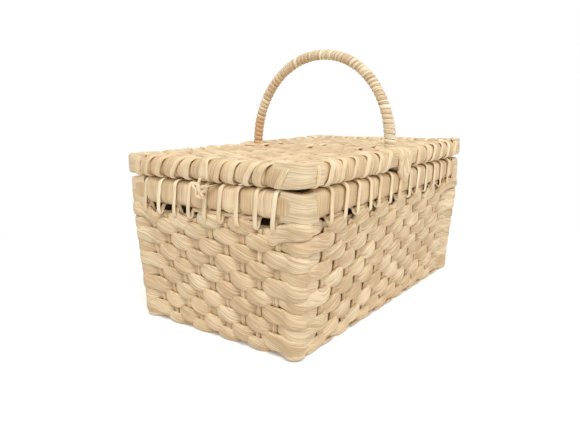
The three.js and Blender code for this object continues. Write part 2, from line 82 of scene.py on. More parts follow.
forward = Vector((
    math.cos(CAMERA_YAW) * math.cos(CAMERA_PITCH),
    math.sin(CAMERA_YAW) * math.cos(CAMERA_PITCH),
    math.sin(CAMERA_PITCH),
))
level = Vector((math.sin(CAMERA_YAW), -math.cos(CAMERA_YAW), 0.0))
above = level.cross(forward)
right = math.cos(CAMERA_ROLL) * level + math.sin(CAMERA_ROLL) * above
turned = Matrix((right, right.cross(forward), -forward)).transposed().to_4x4()

camera_data = bpy.data.cameras.new("camera")
camera = add_object("camera", camera_data)
camera.matrix_world = Matrix.Translation(CAMERA_PLACE) @ turned
camera_data.sensor_width = SENSOR
camera_data.lens = FOCAL_PIXELS * SENSOR / IMAGE_WIDTH
camera_data.shift_x = (IMAGE_WIDTH / 2 - IMAGE_CENTRE[0]) / IMAGE_WIDTH
camera_data.shift_y = (IMAGE_CENTRE[1] - IMAGE_HEIGHT / 2) / IMAGE_WIDTH
camera_data.clip_start = CAMERA_NEAREST
bpy.context.scene.camera = camera
print("lens", round(camera_data.lens, 1), "mm")

# %% [markdown]
# ## Dry leaf
# Dried leaf is satin, straw coloured and full of fine fibres that run along it. Every strand below
# carries its own coordinates, along, across and out of the leaf, so the fibres follow each strand
# wherever it bends. One node group makes the colour, roughness and relief for all the leaf finishes.

# %% Node helpers
def group_socket(group, name, kind, into):
    group.interface.new_socket(name, in_out="INPUT" if into else "OUTPUT", socket_type=kind)


def connect(tree, *pairs):
    for source, target in pairs:
        tree.links.new(source, target)


def feed(tree, socket, value):
    """Set a socket to a plain value, or link it to another socket."""
    if isinstance(value, (int, float)):
        socket.default_value = value
    else:
        tree.links.new(value, socket)


def math_node(tree, operation, first, second):
    node = tree.nodes.new("ShaderNodeMath")
    node.operation = operation
    feed(tree, node.inputs[0], first)
    feed(tree, node.inputs[1], second)
    return node.outputs[0]


def ranged(tree, value, start, full, most=1.0):
    """Nought where the value is at the start, rising to the most where it is full."""
    node = tree.nodes.new("ShaderNodeMapRange")
    for name, number in (("From Min", start), ("From Max", full), ("To Max", most)):
        node.inputs[name].default_value = number
    tree.links.new(value, node.inputs["Value"])
    return node.outputs[0]


def mixed_colour(tree, share, first, second):
    node = tree.nodes.new("ShaderNodeMix")
    node.data_type = "RGBA"
    # The colour sockets come after those for numbers and vectors
    connect(tree, (share, node.inputs[0]), (first, node.inputs[6]), (second, node.inputs[7]))
    return node.outputs[2]


def noise_node(tree, place, detail, roughness=0.5):
    noise = tree.nodes.new("ShaderNodeTexNoise")
    for name, number in (("Scale", 1.0), ("Detail", detail), ("Roughness", roughness)):
        noise.inputs[name].default_value = number
    tree.links.new(place, noise.inputs["Vector"])
    return noise.outputs["Fac"]


def attribute(tree, name):
    node = tree.nodes.new("ShaderNodeAttribute")
    node.attribute_name = name
    return node.outputs


print("node helpers ready")

# %% Leaf finish group
# How often each pattern repeats in a metre along, across and out of the leaf
FIBRE_STRETCH = (22.0, 1500.0, 1500.0)
BAND_STRETCH = (14.0, 300.0, 300.0)
PATCH_STRETCH = (28.0, 70.0, 70.0)
BLUSH_STRETCH = (9.0, 30.0, 30.0)
FIBRE_DETAIL = (3.0, 0.6)
BAND_DETAIL = 2.0
BLUSH_DETAIL = 1.0
FIBRE_CONTRAST = 0.9
PALE_RANGE = (0.15, 0.95)
SHADE_RANGE = (0.36, 0.12)
SHADE_MOST = 0.75
PATCH_SHARE = 0.5
WARM_RANGE = (0.60, 0.78, 0.55)
AGED_RANGE = (0.0, -0.5)
LEAST_ROUGHNESS = 0.42
ROUGHNESS_SPAN = 0.3


def make_leaf_group():
    group = bpy.data.node_groups.new("dry_leaf", "ShaderNodeTree")
    for name in ("Pale", "Straw", "Shade", "Blush"):
        group_socket(group, name, "NodeSocketColor", True)
    for name in ("Fibre depth", "Streaks"):
        group_socket(group, name, "NodeSocketFloat", True)
    group_socket(group, "Colour", "NodeSocketColor", False)
    for name in ("Roughness", "Height"):
        group_socket(group, name, "NodeSocketFloat", False)
    inputs = group.nodes.new("NodeGroupInput").outputs
    outputs = group.nodes.new("NodeGroupOutput").inputs
    strand = attribute(group, "strand")["Vector"]
    tint = attribute(group, "tint")["Fac"]

    def pattern(stretch, *detail):
        scaled = group.nodes.new("ShaderNodeVectorMath")
        scaled.operation = "MULTIPLY"
        scaled.inputs[1].default_value = stretch
        group.links.new(strand, scaled.inputs[0])
        return noise_node(group, scaled.outputs[0], *detail)

    def both_ways(noise, size):
        return math_node(group, "MULTIPLY", math_node(group, "SUBTRACT", noise, 0.5), size)

    fibres = pattern(FIBRE_STRETCH, *FIBRE_DETAIL)
    bands = pattern(BAND_STRETCH, BAND_DETAIL)
    patches = pattern(PATCH_STRETCH, BAND_DETAIL)
    blushes = pattern(BLUSH_STRETCH, BLUSH_DETAIL)

    fine = both_ways(fibres, FIBRE_CONTRAST)
    streaks = both_ways(bands, inputs["Streaks"])
    tone = math_node(group, "ADD", math_node(group, "ADD", fine, streaks), tint)
    leaf = mixed_colour(group, ranged(group, tone, *PALE_RANGE), inputs["Straw"], inputs["Pale"])
    patchy = math_node(group, "ADD", math_node(group, "MULTIPLY", patches, PATCH_SHARE), fine)
    dark = math_node(group, "MULTIPLY", ranged(group, patchy, *SHADE_RANGE), SHADE_MOST)
    leaf = mixed_colour(group, dark, leaf, inputs["Shade"])
    warm = ranged(group, blushes, *WARM_RANGE)
    blush = math_node(group, "MAXIMUM", warm, ranged(group, tint, *AGED_RANGE))
    leaf = mixed_colour(group, blush, leaf, inputs["Blush"])

    rough = math_node(group, "ADD", math_node(group, "MULTIPLY", bands, ROUGHNESS_SPAN), LEAST_ROUGHNESS)
    relief = math_node(group, "ADD", fibres, streaks)
    height = math_node(group, "MULTIPLY", relief, inputs["Fibre depth"])
    connect(group, (leaf, outputs["Colour"]), (rough, outputs["Roughness"]), (height, outputs["Height"]))
    return group


leaf_group = make_leaf_group()
print("leaf group", len(leaf_group.nodes), "nodes")

# %% Leaf finishes
FIBRE_BUMP = 0.35 * MM
BLUSH = (0.70, 0.45, 0.28)
BROWN_BLUSH = (0.62, 0.38, 0.20)


def leaf_material(name, pale, straw, shade, blush=BLUSH, depth=0.7, specular=0.35, streaks=1.0):
    material = bpy.data.materials.new(name)
    material.use_nodes = True
    tree = material.node_tree
    shader = tree.nodes["Principled BSDF"]
    leaf = tree.nodes.new("ShaderNodeGroup")
    leaf.node_tree = leaf_group
    for socket, colour in (("Pale", pale), ("Straw", straw), ("Shade", shade), ("Blush", blush)):
        leaf.inputs[socket].default_value = (*colour, 1.0)
    leaf.inputs["Fibre depth"].default_value = depth
    leaf.inputs["Streaks"].default_value = streaks
    bump = tree.nodes.new("ShaderNodeBump")
    bump.inputs["Distance"].default_value = FIBRE_BUMP
    bump.inputs["Strength"].default_value = 1.0
    connect(tree, (leaf.outputs["Colour"], shader.inputs["Base Color"]),
            (leaf.outputs["Roughness"], shader.inputs["Roughness"]),
            (leaf.outputs["Height"], bump.inputs["Height"]),
            (bump.outputs["Normal"], shader.inputs["Normal"]))
    shader.inputs["Specular IOR Level"].default_value = specular
    return material


weaver_leaf = leaf_material(
    "weaver_leaf", pale=(0.88, 0.73, 0.49), straw=(0.73, 0.54, 0.32), shade=(0.42, 0.27, 0.13), depth=0.65)
stake_leaf = leaf_material(
    "stake_leaf", pale=(0.86, 0.69, 0.45), straw=(0.70, 0.51, 0.29), shade=(0.42, 0.27, 0.13), specular=0.3)
bar_leaf = leaf_material(
    "bar_leaf", pale=(0.86, 0.69, 0.45), straw=(0.70, 0.51, 0.30), shade=(0.44, 0.29, 0.14), depth=0.55)
corner_leaf = leaf_material(
    "corner_leaf", pale=(0.82, 0.68, 0.46), straw=(0.70, 0.53, 0.33), shade=(0.48, 0.33, 0.17),
    depth=0.6, streaks=0.3)
wrap_leaf = leaf_material(
    "wrap_leaf", pale=(0.97, 0.88, 0.66), straw=(0.76, 0.59, 0.38), shade=(0.40, 0.25, 0.12),
    blush=BROWN_BLUSH, depth=0.8, specular=0.4)
lashing_cord = leaf_material(
    "lashing_cord", pale=(0.94, 0.82, 0.59), straw=(0.84, 0.67, 0.43), shade=(0.58, 0.41, 0.21),
    specular=0.3)
print("finishes", leaf_group.users)

# %% [markdown]
# ## One tree for every leaf
# A strand is drawn as a row of points. Each point knows the directions of the leaf's width and face
# and how wide and thick it is there. The tree sweeps a ring along the row, puts every ring point in
# its place, and raises soft lengthwise ridges, because leaf dries in folds. A ready-made bevelled
# curve couldn't do this: it scales its section alike both ways and turns it as it likes.

# %% The strand tree
RIDGE_DETAIL = 1.0


def named(tree, name, kind="FLOAT"):
    node = tree.nodes.new("GeometryNodeInputNamedAttribute")
    node.data_type = kind
    node.inputs["Name"].default_value = name
    return node.outputs[0]


def store(tree, geometry, name, value, kind="FLOAT"):
    node = tree.nodes.new("GeometryNodeStoreNamedAttribute")
    node.data_type = kind
    node.domain = "POINT"
    node.inputs["Name"].default_value = name
    connect(tree, (geometry, node.inputs["Geometry"]), (value, node.inputs["Value"]))
    return node.outputs[0]


def combine(tree, x, y, z):
    node = tree.nodes.new("ShaderNodeCombineXYZ")
    connect(tree, (x, node.inputs[0]), (y, node.inputs[1]), (z, node.inputs[2]))
    return node.outputs[0]


def make_strand_tree():
    tree = bpy.data.node_groups.new("leaf_strand", "GeometryNodeTree")
    group_socket(tree, "Geometry", "NodeSocketGeometry", True)
    group_socket(tree, "Sides", "NodeSocketInt", True)
    for name in ("Squareness", "Ridge depth", "Ridge width", "Ridge length"):
        group_socket(tree, name, "NodeSocketFloat", True)
    group_socket(tree, "Material", "NodeSocketMaterial", True)
    group_socket(tree, "Geometry", "NodeSocketGeometry", False)
    inputs = tree.nodes.new("NodeGroupInput").outputs
    outputs = tree.nodes.new("NodeGroupOutput")

    def product(first, second):
        return math_node(tree, "MULTIPLY", first, second)

    def squared(value):
        size = math_node(tree, "POWER", math_node(tree, "ABSOLUTE", value, 0.0), inputs["Squareness"])
        return product(math_node(tree, "SIGN", value, 0.0), size)

    def scaled(vector, scale):
        node = tree.nodes.new("ShaderNodeVectorMath")
        node.operation = "SCALE"
        connect(tree, (vector, node.inputs[0]), (scale, node.inputs["Scale"]))
        return node.outputs[0]

    def added(first, second):
        node = tree.nodes.new("ShaderNodeVectorMath")
        node.operation = "ADD"
        connect(tree, (first, node.inputs[0]), (second, node.inputs[1]))
        return node.outputs[0]

    ring = tree.nodes.new("GeometryNodeCurvePrimitiveCircle")
    ring.inputs["Radius"].default_value = 1.0
    tree.links.new(inputs["Sides"], ring.inputs["Resolution"])
    place = tree.nodes.new("ShaderNodeSeparateXYZ")
    tree.links.new(tree.nodes.new("GeometryNodeInputPosition").outputs[0], place.inputs[0])
    profile = store(tree, ring.outputs["Curve"], "ring_x", place.outputs[0])
    profile = store(tree, profile, "ring_y", place.outputs[1])

    path = tree.nodes.new("GeometryNodeMeshToCurve")
    sweep = tree.nodes.new("GeometryNodeCurveToMesh")
    sweep.inputs["Fill Caps"].default_value = True
    connect(tree, (inputs["Geometry"], path.inputs["Mesh"]), (path.outputs[0], sweep.inputs["Curve"]),
            (profile, sweep.inputs["Profile Curve"]))

    ring_x, ring_y = named(tree, "ring_x"), named(tree, "ring_y")
    sideways = product(squared(ring_x), product(named(tree, "width"), 0.5))
    outward = product(squared(ring_y), product(named(tree, "thick"), 0.5))
    along = named(tree, "along")
    spread = product(ring_x, product(named(tree, "full"), 0.5))
    slanted = math_node(tree, "ADD", spread, named(tree, "shear"))
    across_vector = named(tree, "across", "FLOAT_VECTOR")
    out_vector = named(tree, "out", "FLOAT_VECTOR")

    ridge_place = combine(
        tree, math_node(tree, "DIVIDE", along, inputs["Ridge length"]),
        math_node(tree, "DIVIDE", slanted, inputs["Ridge width"]),
        math_node(tree, "DIVIDE", outward, inputs["Ridge width"]),
    )
    noise = noise_node(tree, ridge_place, RIDGE_DETAIL)
    ridge = product(product(math_node(tree, "SUBTRACT", noise, 0.5), 2.0), inputs["Ridge depth"])
    radial = added(scaled(across_vector, ring_x), scaled(out_vector, ring_y))
    point = added(scaled(across_vector, sideways), scaled(out_vector, outward))
    point = added(point, named(tree, "centre", "FLOAT_VECTOR"))
    point = added(point, scaled(radial, ridge))
    moved = tree.nodes.new("GeometryNodeSetPosition")
    connect(tree, (sweep.outputs[0], moved.inputs["Geometry"]), (point, moved.inputs["Position"]))
    kept = store(tree, moved.outputs[0], "strand", combine(tree, along, slanted, outward), "FLOAT_VECTOR")
    smooth = tree.nodes.new("GeometryNodeSetShadeSmooth")
    real = tree.nodes.new("GeometryNodeRealizeInstances")
    finish = tree.nodes.new("GeometryNodeSetMaterial")
    connect(tree, (kept, smooth.inputs["Geometry"]), (smooth.outputs[0], real.inputs["Geometry"]),
            (real.outputs[0], finish.inputs["Geometry"]), (inputs["Material"], finish.inputs["Material"]),
            (finish.outputs[0], outputs.inputs["Geometry"]))
    return tree


strand_tree = make_strand_tree()
SOCKET = {item.name: item.identifier for item in strand_tree.interface.items_tree if item.in_out == "INPUT"}
print("strand tree", len(strand_tree.nodes), "nodes")

# %% Line helpers
def unit(rows):
    return rows / np.linalg.norm(rows, axis=1)[:, None]


def run_length(points):
    """How far along a line each of its points lies."""
    return np.concatenate([[0.0], np.cumsum(np.linalg.norm(np.diff(points, axis=0), axis=1))])


def between(points, places, wanted):
    """Rows at the wanted places on a line, from the rows at its own places."""
    return np.column_stack([np.interp(wanted, places, column) for column in points.T])


def spread_evenly(points, count):
    """Rows spread evenly round a closed line, whose first two columns are its points."""
    ends = np.vstack([points, points[:1]])
    length = run_length(ends[:, :2])
    return between(ends, length, np.linspace(0, length[-1], count, endpoint=False))


def full_turn(count):
    return np.linspace(0, 2 * math.pi, count, endpoint=False)


print("line helpers ready")

# %% Strands become pieces
STRAND_APART = 0.37
SEED = 29
VECTOR_VALUES = ("centre", "across", "out")
PLAIN_VALUES = ("along", "width", "thick", "tint", "shear", "full")
TAKEN_OFF = (*VECTOR_VALUES, "along", "width", "thick", "shear", "full", "ring_x", "ring_y")
draws = np.random.RandomState(SEED)


class Strands:
    """Rows of points for one piece, with what the tree needs to know at each of them."""

    def __init__(self):
        self.rows = []
        self.closed = []

    def add(self, centre, across, out, width, thick, tint=0.5, slant=0.0, closed=False):
        count = len(centre)
        length = run_length(centre)
        along = length + draws.uniform(0, 1) + STRAND_APART * len(self.rows)
        turn = np.broadcast_to(np.asarray(slant, float), (count,))
        drift = np.cumsum(np.diff(length) * (turn[1:] + turn[:-1]) / 2)
        shear = along[0] * turn[0] + np.concatenate([[0.0], drift])
        row = dict(centre=centre, across=across, out=out, along=along, width=width, thick=thick, tint=tint,
                   shear=shear, full=np.max(width))
        self.rows.append({
            key: np.broadcast_to(np.asarray(value, float), (count, 3) if key in VECTOR_VALUES else (count,))
            for key, value in row.items()
        })
        self.closed.append(closed)

    def values(self, key):
        return np.concatenate([row[key] for row in self.rows])


def strand_paths(name, strands):
    """A mesh of bare edges, one row of them to each strand, with the strands' values at its points."""
    edges = []
    start = 0
    for row, closed in zip(strands.rows, strands.closed):
        end = start + len(row["along"]) - 1
        edges += [(k, k + 1) for k in range(start, end)]
        if closed:
            edges.append((end, start))
        start = end + 1
    mesh = bpy.data.meshes.new(name + "_paths")
    mesh.from_pydata(strands.values("centre").tolist(), edges, [])
    for keys, kind, field in ((VECTOR_VALUES, "FLOAT_VECTOR", "vector"), (PLAIN_VALUES, "FLOAT", "value")):
        for key in keys:
            layer = mesh.attributes.new(key, kind, "POINT")
            layer.data.foreach_set(field, strands.values(key).ravel().astype(np.float32))
    return mesh


def make_piece(name, strands, material, body, slot, nodes=(),
               sides=24, squareness=1.0, depth=0.3, ridge=1.6, length=30.0):
    """One finished piece. The depth, width and length of its ridges are in millimetres."""
    maker = add_object(name + "_maker", strand_paths(name, strands))
    modifier = maker.modifiers.new("leaf", "NODES")
    modifier.node_group = strand_tree
    for key, value in (("Sides", sides), ("Squareness", squareness), ("Ridge depth", depth * MM),
                       ("Ridge width", ridge * MM), ("Ridge length", length * MM), ("Material", material)):
        modifier[SOCKET[key]] = value
    graph = bpy.context.evaluated_depsgraph_get()
    made = bpy.data.meshes.new_from_object(maker.evaluated_get(graph))
    made.name = name
    bpy.data.objects.remove(maker)
    for key in TAKEN_OFF:
        if key in made.attributes:
            made.attributes.remove(made.attributes[key])
    shape = bmesh.new()
    shape.from_mesh(made)
    bmesh.ops.recalc_face_normals(shape, faces=shape.faces)
    shape.to_mesh(made)
    shape.free()
    piece = add_object(name, made)
    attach(piece, body)
    if nodes:
        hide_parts(*nodes)
    triangles = sum(len(polygon.vertices) - 2 for polygon in made.polygons)
    print(name, len(strands.rows), "strands,", triangles, "triangles")


print("strands ready, seed", SEED)

# %% [markdown]
# ## The wall's own coordinates
# The wall leans out a little and has rounded corners with no stake on them. A place on it is given
# by its height and by a stake number: 3.5 is midway between stakes three and four. Weaving is then a
# cosine of that number, since a course is in front at one stake and behind at the next.

# %% Wall
LONG_STAKES = 14
SHORT_STAKES = 9
SIDE_STAKES = (LONG_STAKES, SHORT_STAKES, LONG_STAKES, SHORT_STAKES)
SIDE_ENDS = np.cumsum(SIDE_STAKES)
STAKES = sum(SIDE_STAKES)
COURSES = 9
WALL_HALF = 4.1 * MM
CORNER_RADIUS = 9 * MM
CORNER_FULLNESS = 5.2 * MM
CORNER_MARGINS = (20 * MM, 9.5 * MM)
# Where the wall stays open under the rim, by stake number along each side
END_WINDOWS = (0.5, 1.5, 2.5, 7.5)
SIDE_WINDOWS = (tuple(range(2, LONG_STAKES, 2)), END_WINDOWS, (1, 3, 7, 9), END_WINDOWS)
WINDOWS = np.array([
    end - count + place
    for end, count, places in zip(SIDE_ENDS, SIDE_STAKES, SIDE_WINDOWS)
    for place in places
])

course_boxes = [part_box(f"weaver_course_{k + 1}") for k in range(COURSES)]
course_heights = [(low.z + high.z) / 2 for low, high in course_boxes]
course_pitch = (course_heights[-1] - course_heights[0]) / (COURSES - 1)
rim_low, rim_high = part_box("rim_bar")


def wall_half(z):
    share = (z - course_heights[0]) / (course_heights[-1] - course_heights[0])
    low, high = course_boxes[0][1], course_boxes[-1][1]
    return (low.x + (high.x - low.x) * share - WALL_HALF, low.y + (high.y - low.y) * share - WALL_HALF)


def wall_place(stake, z):
    """Point on the middle of the wall and its outward direction."""
    stake = stake % STAKES
    side = 0
    while stake >= SIDE_STAKES[side]:
        stake -= SIDE_STAKES[side]
        side += 1
    half_x, half_y = wall_half(z)
    reach, away = (half_x, half_y) if side % 2 == 0 else (half_y, half_x)
    last = SIDE_STAKES[side] - 1
    margin, next_margin = CORNER_MARGINS[side % 2], CORNER_MARGINS[1 - side % 2]
    straight = reach - CORNER_RADIUS - margin
    turn = 0.0
    if stake <= last:
        across, out = straight * (2 * stake / last - 1), away
    else:
        arc = CORNER_RADIUS * math.pi / 2
        gone = (stake - last) * (margin + arc + next_margin)
        turn = min(max((gone - margin) / CORNER_RADIUS, 0.0), math.pi / 2)
        before = min(gone, margin)
        after = max(gone - margin - arc, 0.0)
        radius = CORNER_RADIUS + CORNER_FULLNESS * math.sin(2 * turn)
        across = straight + before + radius * math.sin(turn)
        out = away - CORNER_RADIUS + radius * math.cos(turn) - after
    angle = side * math.pi / 2
    sine, cosine = math.sin(angle), math.cos(angle)
    point = (across * cosine + out * sine, across * sine - out * cosine, z)
    return point, (math.sin(angle + turn), -math.cos(angle + turn), 0.0)


def wall_line(stakes, heights):
    """Points on the middle of the wall, and its outward direction at each of them."""
    placed = [wall_place(stake, z) for stake, z in np.broadcast(stakes, heights)]
    return np.array([point for point, facing in placed]), np.array([facing for point, facing in placed])


def sway(values, places):
    """Smooth values along a course from one value at each stake."""
    number = np.floor(places).astype(int)
    blend = 0.5 - 0.5 * np.cos(math.pi * (places - number))
    size = len(values)
    return values[number % size] * (1 - blend) + values[(number + 1) % size] * blend


print("wall", STAKES, "stakes, course pitch", round(course_pitch / MM, 2), "mm,", len(WINDOWS), "windows")

# %% [markdown]
# ## Courses
# Each course is one long twisted leaf. Where it lies in front of a stake it swells into the plump
# lozenge that shows outside, and where it dives behind it is drawn narrow. Every float gets its own
# height, fullness and tone, as leaf from different plants does. A first, narrower row lies at the foot.

# %% How a leaf weaves
FLOAT_WIDTH = 13.0 * MM
DIVE_WIDTH = 8.4 * MM
FLOAT_THICKNESS = 4.0 * MM
DIVE_THICKNESS = 2.8 * MM
FLOAT_STAND = 0.6 * MM
FLOAT_BOW = 1.3 * MM
DIVE_DEPTH = 2.3 * MM
DIVE_LENGTH = 5.0 * MM
DIVE_EARLY = 1.2 * MM
FLOAT_TILT = 1.5 * MM
FLOAT_TAPER = 2.0
SAMPLES = 18


def weave(number, share, phase, stake_step):
    """How a leaf stands out, shifts, swells and thickens at a share of the way on from a numbered stake.

    Along a float is minus one where the leaf comes out, nought at the stake that it covers and one
    where it dives behind the next stake.
    """
    rising = (number + phase) % 2 == 1
    along_float = np.where(rising, share - 1, share)
    to_stake = (1 - np.abs(along_float)) * stake_step
    to_dive = to_stake + np.where(rising, DIVE_EARLY, -DIVE_EARLY)
    dive = np.exp(-(to_dive / DIVE_LENGTH) ** 2)
    bow = FLOAT_STAND + FLOAT_BOW * np.cos(math.pi / 2 * along_float) ** 2
    swell = 1 - np.abs(along_float) ** FLOAT_TAPER
    stand = bow * (1 - dive) - DIVE_DEPTH * dive
    shift = -FLOAT_TILT * along_float * (1 - dive)
    width = DIVE_WIDTH + (FLOAT_WIDTH - DIVE_WIDTH) * swell
    thick = DIVE_THICKNESS + (FLOAT_THICKNESS - DIVE_THICKNESS) * swell
    return stand, shift, width, thick


print("a float is", round(FLOAT_WIDTH / MM, 1), "mm wide and", round(FLOAT_THICKNESS / MM, 1), "mm thick")

# %% Weave the courses
LONG_SIDE_LEAN = -1.4
CORNER_LEAN = 0.3
STAND_JITTER = 0.35 * MM
SHIFT_JITTER = 0.6 * MM
WIDTH_JITTER = 0.7 * MM
THICKNESS_JITTER = 0.3 * MM
MIDDLE_TINT = 0.5
TINT_JITTER = 0.3
FIBRE_SLANT = (0.2, 0.38)
BACK_STAKE = 31
TOP_COURSE_LIFT = 0.4 * MM
TOP_COURSE_SQUASH = 0.94
WINDOW_DIP = 5.2 * MM
WINDOW_HALF = 0.42
END_WINDOW_HALF = 0.65
CORNER_RISE = 2.2 * MM
CORNER_HALF = 0.6
DIP_POWER = 4
INNER_STEPS = 14
INNER_REACH = 0.82
INNER_START = 1.2 * MM
INNER_DEPTH = 3.4 * MM
INNER_WIDTH = 14.6 * MM
INNER_THICKNESS = 2.6 * MM
INNER_TOP_DROP = 5.0 * MM
INNER_TINT = (0.2, 0.8)
INNER_SLANT = 0.1
COURSE_LOOK = dict(sides=32, squareness=0.82, depth=0.34, ridge=3.0, length=26)


def top_dip(places):
    """How far the top course hangs lower at the windows under the rim, and rises at the corners."""
    def near(spots, halves):
        return np.exp(-((places[:, None] - spots) / halves) ** DIP_POWER).max(axis=1)

    dips = near(WINDOWS, np.where(WINDOWS % 1 == 0, WINDOW_HALF, END_WINDOW_HALF))
    return WINDOW_DIP * dips - CORNER_RISE * near(SIDE_ENDS - 0.5, CORNER_HALF)


def course_strand(strands, height, phase, squash=1.0, dips=False):
    places = np.arange(0, STAKES, 1.0 / SAMPLES)
    centre, facing = wall_line(places, height)
    step = np.linalg.norm(np.roll(centre, -1, axis=0) - centre, axis=1)
    stake_step = np.add.reduceat(step, np.arange(0, len(step), SAMPLES))
    number = np.floor(places).astype(int)
    part = np.cumsum(step) - step - (np.cumsum(stake_step) - stake_step)[number]
    spacing = stake_step[number]
    stand, shift, width, thick = weave(number, part / spacing, phase, spacing)

    def jitter(size):
        return sway(draws.uniform(-size, size, STAKES), places)

    # The floats lean one way on the short ends and the other way on the long sides
    lean = np.where(np.searchsorted(SIDE_ENDS, number, side="right") % 2 == 0, LONG_SIDE_LEAN, 1.0)
    lean[np.isin(number, SIDE_ENDS - 1)] = CORNER_LEAN
    stand = stand + jitter(STAND_JITTER)
    shift = (shift * lean + jitter(SHIFT_JITTER)) * squash
    if dips:
        shift = shift - top_dip(places)
    centre = centre + facing * stand[:, None] + UP * shift[:, None]
    width = (width + jitter(WIDTH_JITTER)) * squash
    thick = thick + jitter(THICKNESS_JITTER)
    tint = MIDDLE_TINT + jitter(TINT_JITTER)
    # The two ends of the leaf meet behind a stake at the back of the basket
    order = np.roll(np.arange(len(places)), -(BACK_STAKE - phase) * SAMPLES)
    strands.add(centre[order], UP, facing[order], width[order], thick[order], tint[order],
                np.sign(lean[order]) * draws.uniform(*FIBRE_SLANT), closed=True)


def inner_drop():
    """Places along the inner side of a float, and how far in it lies at each of them."""
    spread = np.linspace(-1, 1, INNER_STEPS)
    return INNER_REACH * spread, INNER_START + (INNER_DEPTH - INNER_START) * np.cos(math.pi / 2 * spread)


def inner_floats(strands, height, phase, squash):
    """The bulk of the leaf on the inside of the wall, behind each stake that the course passes behind."""
    spread, drop = inner_drop()
    for stake in range((phase + 1) % 2, STAKES, 2):
        centre, facing = wall_line(stake + spread, height)
        strands.add(centre - facing * drop[:, None], UP, facing, INNER_WIDTH * squash, INNER_THICKNESS,
                    draws.uniform(*INNER_TINT), INNER_SLANT)


for number, height in enumerate(course_heights):
    course = Strands()
    top = number == COURSES - 1
    squash = TOP_COURSE_SQUASH if top else 1.0
    lifted = height + TOP_COURSE_LIFT * number / (COURSES - 1)
    phase = (number + 1) % 2
    course_strand(course, lifted, phase, squash, top)
    inner_floats(course, lifted - INNER_TOP_DROP * top, phase, squash)
    make_piece(f"woven_course_{number + 1}", course, weaver_leaf, "basket", "weaver_leaf",
               [f"weaver_course_{number + 1}"], **COURSE_LOOK)

# %% [markdown]
# ## Stakes and floor
# The floor is plaited from the same leaf, and its strands turn up to become the stakes. The stakes
# are rolled narrow, and give way a little at every course, outwards where the course passes behind.

# %% Stakes
STAKE_WIDTH = 4.4 * MM
STAKE_WIDTH_SPREAD = 0.15
STAKE_RIPPLE = 0.3 * MM
STAKE_RIPPLE_LENGTH = 3 * MM
STAKE_THICKNESS = 2.2 * MM
STAKE_BOW = 1.1 * MM
STAKE_SET_BACK = 0.5 * MM
STAKE_FOOT = 2.5 * MM
STAKE_STEPS = 60
STAKE_TINT = (0.3, 0.7)
STAKE_SLANT = 0.1
FOLDED_STAKE_TOP = 0.3 * MM
STAKE_IN_RIM = 2 * MM
STAKE_LOOK = dict(sides=12, depth=0.25, ridge=1.2)

stakes = Strands()
for stake in range(STAKES):
    folded = stake % 2 == 0
    top = course_heights[-1] + FOLDED_STAKE_TOP if folded else rim_low.z + STAKE_IN_RIM
    heights = np.linspace(STAKE_FOOT, top, STAKE_STEPS)
    centre, facing = wall_line(stake, heights)
    level = (heights - course_heights[0]) / course_pitch
    bow = STAKE_BOW * np.cos(math.pi * (stake + level)) - STAKE_SET_BACK
    width = STAKE_WIDTH * (1 + draws.uniform(-STAKE_WIDTH_SPREAD, STAKE_WIDTH_SPREAD))
    width = width + STAKE_RIPPLE * np.sin(heights / STAKE_RIPPLE_LENGTH + stake)
    stakes.add(centre + facing * bow[:, None], np.cross(UP, facing), facing, width, STAKE_THICKNESS,
               draws.uniform(*STAKE_TINT), STAKE_SLANT)
print(len(stakes.rows), "stakes laid out")

# %% Floor
BOTTOM_ROW_HEIGHT = 4.9 * MM
BOTTOM_ROW_SQUASH = 0.8
FLOOR_HEIGHT = 2.6 * MM
FLOOR_FLATNESS = 0.6
MAT_ROW = 10.4 * MM
MAT_STAKE_STEP = 17.5 * MM
MAT_TUCK = 0.2
MAT_SHIFT = 0.5 * MM
MAT_WIDTHS = (0.94, 1.06)
MAT_SLANT = (0.05, 0.15)
MAT_BAR_SAMPLES = 6


def mat(rows, bars, low, high, height, flatness):
    """A flat weave like the wall's: rows across the basket over and under stakes along it."""
    row_count = round((high[0] - low[0]) / MAT_ROW)
    stake_count = round((high[1] - low[1]) / MAT_STAKE_STEP)
    row_pitch = (high[0] - low[0]) / row_count
    stake_pitch = (high[1] - low[1]) / stake_count
    spread, drop = inner_drop()
    for row in range(row_count):
        row_place = low[0] + row_pitch * (row + 0.5)
        run = np.linspace(-MAT_TUCK, stake_count + MAT_TUCK, stake_count * SAMPLES + 1)
        number = np.floor(run - 0.5).astype(int)
        stand, shift, width, thick = weave(number, run - 0.5 - number, row, stake_pitch)
        sideways = row_place + shift + draws.uniform(-MAT_SHIFT, MAT_SHIFT)
        centre = np.column_stack([sideways, low[1] + stake_pitch * run, height + stand * flatness])
        tints = draws.uniform(-TINT_JITTER, TINT_JITTER, stake_count + 2)
        rows.add(centre, LENGTHWISE, UP, width * draws.uniform(*MAT_WIDTHS), thick * flatness,
                 MIDDLE_TINT + sway(tints, run), draws.uniform(*MAT_SLANT))
        for bar in range((row + 1) % 2, stake_count, 2):
            along = low[1] + stake_pitch * (bar + 0.5 + spread)
            centre = np.column_stack([np.full(INNER_STEPS, row_place), along, height - drop * flatness])
            rows.add(centre, LENGTHWISE, UP, INNER_WIDTH, INNER_THICKNESS * flatness,
                     draws.uniform(*INNER_TINT), INNER_SLANT)
    for bar in range(stake_count):
        run = np.linspace(-MAT_TUCK, row_count + MAT_TUCK, row_count * MAT_BAR_SAMPLES + 1)
        bow = STAKE_BOW * np.cos(math.pi * (run - 0.5 + bar + 1)) - STAKE_SET_BACK
        beside = np.full(len(run), low[1] + stake_pitch * (bar + 0.5))
        centre = np.column_stack([low[0] + row_pitch * run, beside, height + bow * flatness])
        bars.add(centre, CROSSWISE, UP, STAKE_WIDTH, STAKE_THICKNESS * flatness,
                 draws.uniform(*STAKE_TINT), STAKE_SLANT)


